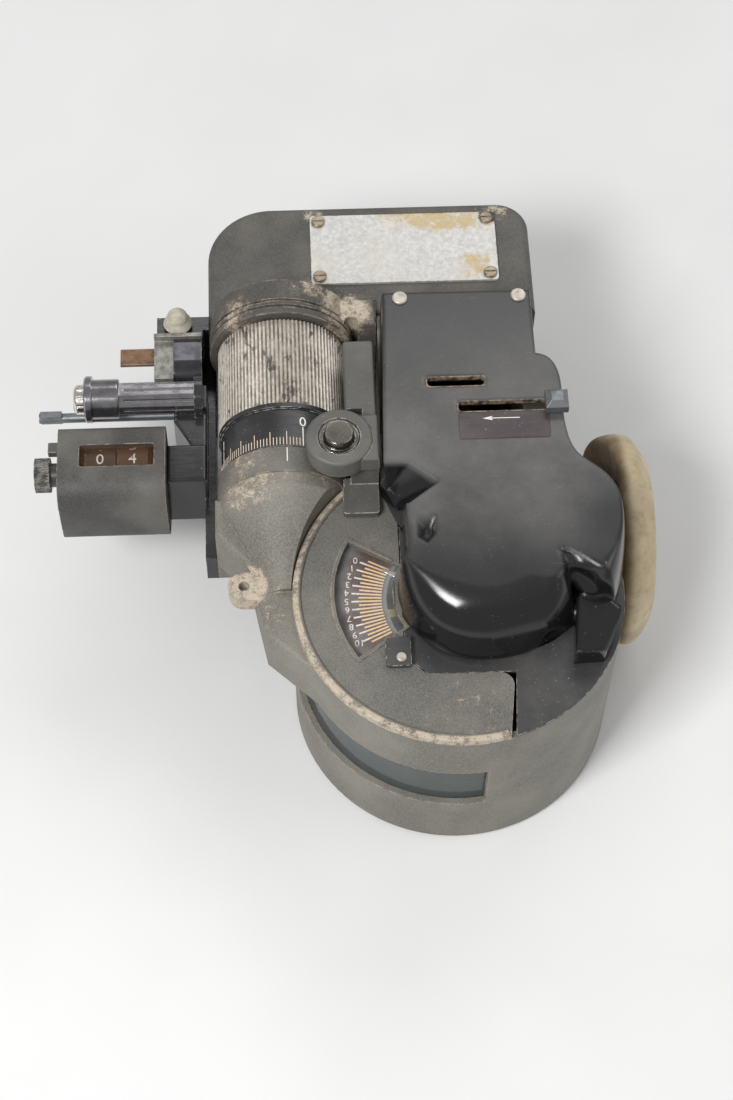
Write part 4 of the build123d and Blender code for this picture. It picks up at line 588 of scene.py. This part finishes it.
def round_rect(box, grow, r, z):
    """Points of a rectangle x0, x1, y0, y1, grown on each side, with round corners."""
    x0, x1, y0, y1 = box[0] - grow, box[1] + grow, box[2] - grow, box[3] + grow
    points = []
    corners = ((x1 - r, y1 - r, 0), (x0 + r, y1 - r, 90), (x0 + r, y0 + r, 180), (x1 - r, y0 + r, 270))
    for cx, cy, start in corners:
        for k in range(7):
            a = math.radians(start + 15 * k)
            points.append((cx + r * math.cos(a), cy + r * math.sin(a), z))
    return points


def bands(rings, closed):
    """Faces between each ring of points and the next, and between the last and the first if closed."""
    count = len(rings[0])
    faces = []
    for level in range(len(rings) if closed else len(rings) - 1):
        low = level * count
        high = (level + 1) % len(rings) * count
        for i in range(count):
            j = (i + 1) % count
            faces.append((low + i, low + j, high + j, high + i))
    return faces


def cover_label(material):
    """Thin bare label below the long slot, with round corners and a soft edge."""
    rings = [
        round_rect(LABEL, 0.0, 0.8, COVER_TOP - 0.05),
        round_rect(LABEL, 0.0, 0.8, COVER_TOP + LABEL_T * 0.6),
        round_rect(LABEL, -0.12, 0.7, COVER_TOP + LABEL_T),
    ]
    count = len(rings[0])
    faces = [tuple(reversed(range(count))), tuple(2 * count + i for i in range(count))]
    faces += bands(rings, False)
    return make_piece("cover_label", [v for ring in rings for v in ring], faces, material)


def slot_rims(material):
    """Worn rims of the cover's two slots, which round off the slots' ends."""
    marks = Marks()
    for box, end_r in ((LONG_SLOT, 1.1), (SMALL_SLOT, 1.5)):
        rings = [
            round_rect(box, 0.32, 0.6, COVER_TOP - 0.05),
            round_rect(box, 0.28, 0.6, COVER_TOP + 0.04),
            round_rect(box, -0.02, end_r, COVER_TOP + 0.04),
            round_rect(box, -0.04, end_r, COVER_TOP - 1.6),
        ]
        marks.mesh_of([v for ring in rings for v in ring], bands(rings, True))
    return marks.piece("slot_rims", material)


def cover_arrow(white):
    """Arrow on the label that shows which way the lever moves."""
    z0 = COVER_TOP + LABEL_T - MARK_H
    z1 = COVER_TOP + LABEL_T + MARK_H
    shaft = [(11.4, 47.08), (19.8, 47.08), (19.8, 47.32), (11.4, 47.32)]
    head = [(9.0, 47.2), (11.8, 46.5), (11.8, 47.9)]
    marks = Marks()
    for points in (shaft, head):
        marks.slab([(x, y, z0) for x, y in points], [(x, y, z1) for x, y in points])
    return marks.piece("cover_arrow", white)


def lathe_x(name, profile, center, material, count=96):
    """A closed profile of (x, r) turned about an axis along X."""
    verts = []
    for i in range(count):
        a = 2 * math.pi * i / count
        verts += [(x, center[0] + r * math.cos(a), center[1] + r * math.sin(a)) for x, r in profile]
    rows = len(profile)
    faces = []
    for i in range(count):
        j = (i + 1) % count
        for k in range(rows):
            m = (k + 1) % rows
            faces.append((i * rows + k, j * rows + k, j * rows + m, i * rows + m))
    return make_piece(name, verts, faces, material, smooth=True)


WING_MM = 6.0


def draw_wing(cup):
    """Draw the bowl's back edge out on the side away from the head, to shade the eye."""
    for v in cup.data.vertices:
        away = v.co.y / MM - EYE_Y
        radius = math.hypot(away, v.co.z / MM - OPTIC_Z)
        side = max(0.0, away / radius) ** 3
        behind = min(1.0, max(0.0, (CUP_X + 2.0 - v.co.x / MM) / 3.0))
        flare = min(1.0, max(0.0, (radius - 22.0) / 6.0))
        v.co.x -= WING_MM * side * behind * flare * MM


def rubber_cup(material):
    """Eyecup: a neck, a round bowl that bells back over the ring, and a soft lip."""
    outline = [
        (0.05, 15.95), (0.05, 17.5), (-0.7, 20.4), (-1.45, 23.8), (-1.9, 26.6), (-2.1, 29.2), (-1.6, 31.2),
        (-0.2, 32.1), (1.7, 32.25), (3.4, 31.6), (5.2, 30.1), (6.6, 28.2), (7.7, 26.2), (8.5, 24.5),
        (8.55, 23.6), (7.9, 23.5), (7.1, 24.6), (5.9, 26.4), (4.4, 28.2), (2.9, 29.6), (1.4, 30.2),
        (0.3, 29.6), (0.05, 27.6), (0.4, 25.0), (1.1, 21.8), (2.1, 18.9), (3.3, 16.9), (3.95, 15.95),
    ]
    profile = [(CUP_X + x, r) for x, r in outline]
    cup = lathe_x("rubber_eyecup", profile, (EYE_Y, OPTIC_Z), material)
    draw_wing(cup)
    soft = cup.modifiers.new("soft", "SUBSURF")
    soft.levels = 1
    soft.render_levels = 1
    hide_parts("eyecup")
    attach(cup, "focus")


def counter_figures(white):
    """Ten figures round each number wheel. At rest the window shows 0 and 4 in the middle."""
    for name, body, mid_x, first in (
        ("tens_figures", "counter_tens", -93.9, 4), ("unit_figures", "counter_units", -103.5, 0),
    ):
        marks = Marks()
        for k in range(10):
            turn = 2 * math.pi * k / 10
            verts, faces = figure(str((first + k) % 10), 3.6)
            placed = []
            for x, y, z in verts:
                lean = y / WHEEL_R + turn
                r = WHEEL_R + z
                placed.append((mid_x + x, COUNTER_Y + r * math.sin(lean), COUNTER_Z + r * math.cos(lean)))
            marks.mesh_of(placed, faces)
        piece = marks.piece(name, white)
        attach(piece, body)


def make_stage():
    s = Shader("floor")
    speck = s.noise(9.0, 3.0)
    tone = s.mix(s.ramp(speck, 0.3, 0.7), (0.74, 0.74, 0.735), (0.78, 0.78, 0.775))
    floor_paint = s.finish(tone, 0.7)
    mesh = bpy.data.meshes.new("floor")
    w = 3.0
    mesh.from_pydata([(-w, -w, 0), (w, -w, 0), (w, w, 0), (-w, w, 0)], [], [(0, 1, 2, 3)])
    mesh.materials.append(floor_paint)
    floor = bpy.data.objects.new("floor", mesh)
    bpy.context.scene.collection.objects.link(floor)


def make_lamp(name, place, aim, size, watts):
    data = bpy.data.lights.new(name, "AREA")
    data.shape = "RECTANGLE"
    data.size = size[0]
    data.size_y = size[1]
    data.energy = watts
    lamp = bpy.data.objects.new(name, data)
    bpy.context.scene.collection.objects.link(lamp)
    lamp.location = place
    lamp.rotation_euler = (Vector(aim) - Vector(place)).to_track_quat("-Z", "Y").to_euler()


def make_lights():
    middle = (-0.02, 0.04, 0.05)
    make_lamp("key", (-0.42, -0.42, 0.80), middle, (0.28, 0.28), 7.0)
    make_lamp("back_panel", (0.25, 0.85, 0.95), middle, (0.9, 0.5), 3.4)
    make_lamp("side_fill", (0.9, -0.1, 0.5), middle, (0.6, 0.6), 2.0)
    world = bpy.data.worlds.new("world")
    world.use_nodes = True
    world.node_tree.nodes["Background"].inputs["Color"].default_value = (1.0, 1.0, 1.0, 1.0)
    world.node_tree.nodes["Background"].inputs["Strength"].default_value = 0.42
    bpy.context.scene.world = world
    bpy.context.scene.view_settings.view_transform = "Standard"


def rim_wear(s):
    """The raised rim of the head's face, rubbed all along."""
    return s.ramp(s.radius_about((0.0, 0.0, 0.0), (1.0, 1.0, 0.0)), 0.0454, 0.0462)


def dress_nodes():
    """One finish for each CAD node."""
    round_patch = (1.0, 1.0, 1.0)
    casting = crackle_paint("casting_paint", (0.185, 0.175, 0.150), [
        ((-59.0, 32.5, 72.0), 3.0, 12.0, (0.75, 1.4, 1.0), 1.0),
        ((-52.0, 34.0, 77.5), 2.0, 9.0, (0.6, 1.8, 1.0), 0.75),
        ((-61.4, 5.5, 63.0), 6.0, 3.0, round_patch, 1.25),
        ((-52.0, 0.0, 64.0), 4.0, 16.0, round_patch, 0.55),
        ((-36.0, 33.0, 72.0), 2.0, 7.0, round_patch, 0.7),
    ], 0.5)
    ring = crackle_paint("ring_paint", (0.115, 0.110, 0.100), [
        ((-60.0, 40.0, 75.0), 2.0, 11.0, round_patch, 0.8),
    ], 0.4)
    base = crackle_paint("base_paint", (0.078, 0.073, 0.066), [
        ((-62.0, 92.0, 74.0), 2.0, 9.0, round_patch, 1.0),
        ((-30.0, 96.0, 70.0), 6.0, 7.0, round_patch, 1.3),
        ((-41.0, 101.0, 74.0), 3.0, 8.0, (0.7, 1.3, 1.0), 1.1),
        ((-39.0, 109.0, 67.5), 2.0, 3.0, round_patch, 1.0),
        ((-38.0, 136.5, 67.5), 1.5, 3.0, round_patch, 0.9),
        ((19.0, 137.0, 67.5), 2.0, 5.0, round_patch, 0.9),
    ], 0.24, 0.9)
    plate = crackle_paint("plate_paint", (0.140, 0.134, 0.120), [
        ((4.0, -40.0, 66.0), 6.0, 14.0, (0.55, 1.0, 1.0), 0.3),
        ((-30.0, -33.0, 66.0), 1.0, 9.0, round_patch, 0.35),
    ], 0.36, 0.7, 2100.0, rim_wear)
    counter = crackle_paint("counter_paint", (0.058, 0.056, 0.052), (), 0.30, 0.7)
    black = smooth_black("smooth_black")
    arm = smooth_black("arm_paint", (0.095, 0.092, 0.084), 0.42, 0.45, 0.6, 0.6)
    gloss = smooth_black("gloss_black", (0.014, 0.014, 0.016), 0.10, 0.10, 0.4, 0.5)
    tube = dark_metal("tube_black", (0.30, 0.29, 0.31), 0.13, 0.5)
    housing = dark_metal("housing_black", (0.085, 0.085, 0.095), 0.10, 0.5, 0.8)
    steel = metal("ground_steel", (0.56, 0.55, 0.52), 0.3)
    dull = metal("dull_alloy", (0.22, 0.235, 0.245), 0.38, 0.35, 0.7)
    nickel = metal("nickel_plate", (0.74, 0.71, 0.66), 0.16, 0.2)
    brass = metal("turned_brass", (0.62, 0.45, 0.20), 0.3)
    screw = metal("screw_metal", (0.60, 0.55, 0.47), 0.42, 0.35, 0.6)
    glass = clear_glass("clear_glass", (0.8, 0.83, 0.82), 0.03)
    lens = lens_glass()
    cover = moulded_cover()
    finishes = {
        "main_casting": casting, "index_ring": ring, "base_housing": base, "base_cover": base,
        "side_plate": plate, "bearing_plate": black, "counter_housing": counter,
        "side_cover": cover, "drum_grip": knurled_aluminium(), "name_plate": stained_plate(),
        "altitude_scale": smooth_black("band_black", (0.02, 0.02, 0.022), 0.22, 0.12),
        "lamp_arm": arm, "lamp_bracket": arm, "front_bracket": gloss,
        "lamp_tube": tube, "lamp_housing": housing, "switch_body": gloss,
        "eyepiece_tube": black, "focus_ring": black, "eyepiece_cell": black, "objective_cell": black,
        "bubble_knob": black, "shade_wheel": black, "counter_knob": black,
        "prism_carrier": steel, "worm": steel, "drum_shaft": steel, "astigmatizer_slide": dull,
        "astigmatizer_rail": metal("rail_bronze", (0.46, 0.34, 0.23), 0.22),
        "trigger_rod": dull, "winding_key": steel,
        # Painted reflection: the nickel nut is given a dark colour so that it looks as if it mirrors dark
        # surroundings.
        "lamp_arm_nut": dark_metal("nickel_with_painted_dark_reflection", (0.13, 0.12, 0.105), 0.14, 0.9),
        "rheostat_knob": nickel, "index_pointer": nickel,
        "bearing_bushes": brass, "worm_sector": brass, "bubble_cell": brass, "clock_frame": brass,
        "mainspring_barrel": brass, "clock_wheel": brass,
        "housing_screws": dark_metal("dirty_screw", (0.34, 0.28, 0.20), 0.34, 0.4, 0.7),
        "side_cover_screws": screw, "flange_plate": flange_metal(),
        "dial_glass": glass, "bubble_glass": glass, "scale_lamp_bulb": glass,
        "window_glass": clear_glass("window_glass", (0.10, 0.12, 0.12), 0.55, 0.02),
        "counter_window": clear_glass("amber_window", (0.16, 0.08, 0.035), 0.12, 0.05),
        "shade_glasses": clear_glass("shade_tint", (0.08, 0.12, 0.10), 0.75, 0.03),
        "index_prism": lens, "field_lens": lens, "eye_lens": lens, "objective_lenses": lens,
        "beam_splitter": lens, "astigmatizer_lens": lens,
        "degree_scale": scale_ground(),
        "unit_wheel": smooth_black("wheel_black", (0.022, 0.016, 0.012), 0.4, 0.1),
        "tens_wheel": smooth_black("wheel_brown", (0.060, 0.030, 0.016), 0.4, 0.1),
        "switch_button": pale_button(), "eyecup": aged_rubber(),
    }
    for name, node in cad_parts.items():
        node.data.materials.clear()
        node.data.materials.append(finishes[name])


def dress_marks():
    white = flat_mark("white_mark", (0.85, 0.83, 0.78))
    amber = flat_mark("amber_mark", (0.90, 0.60, 0.32))
    cream = flat_mark("cream_mark", (0.84, 0.68, 0.53))
    label = smooth_black("label_face", (0.045, 0.030, 0.034), 0.3, 0.25, 0.15, 0.5)
    for piece in drum_marks(white, cream):
        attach(piece, "drum")
    on_cover = [cover_label(label), cover_arrow(white), slot_rims(slot_edge())]
    for piece in dial_marks(white, amber) + [ring_mark(white)] + on_cover:
        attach(piece, "frame")
    counter_figures(white)


make_camera()
make_lights()
make_stage()
dress_nodes()
dress_marks()
rubber_cup(aged_rubber())
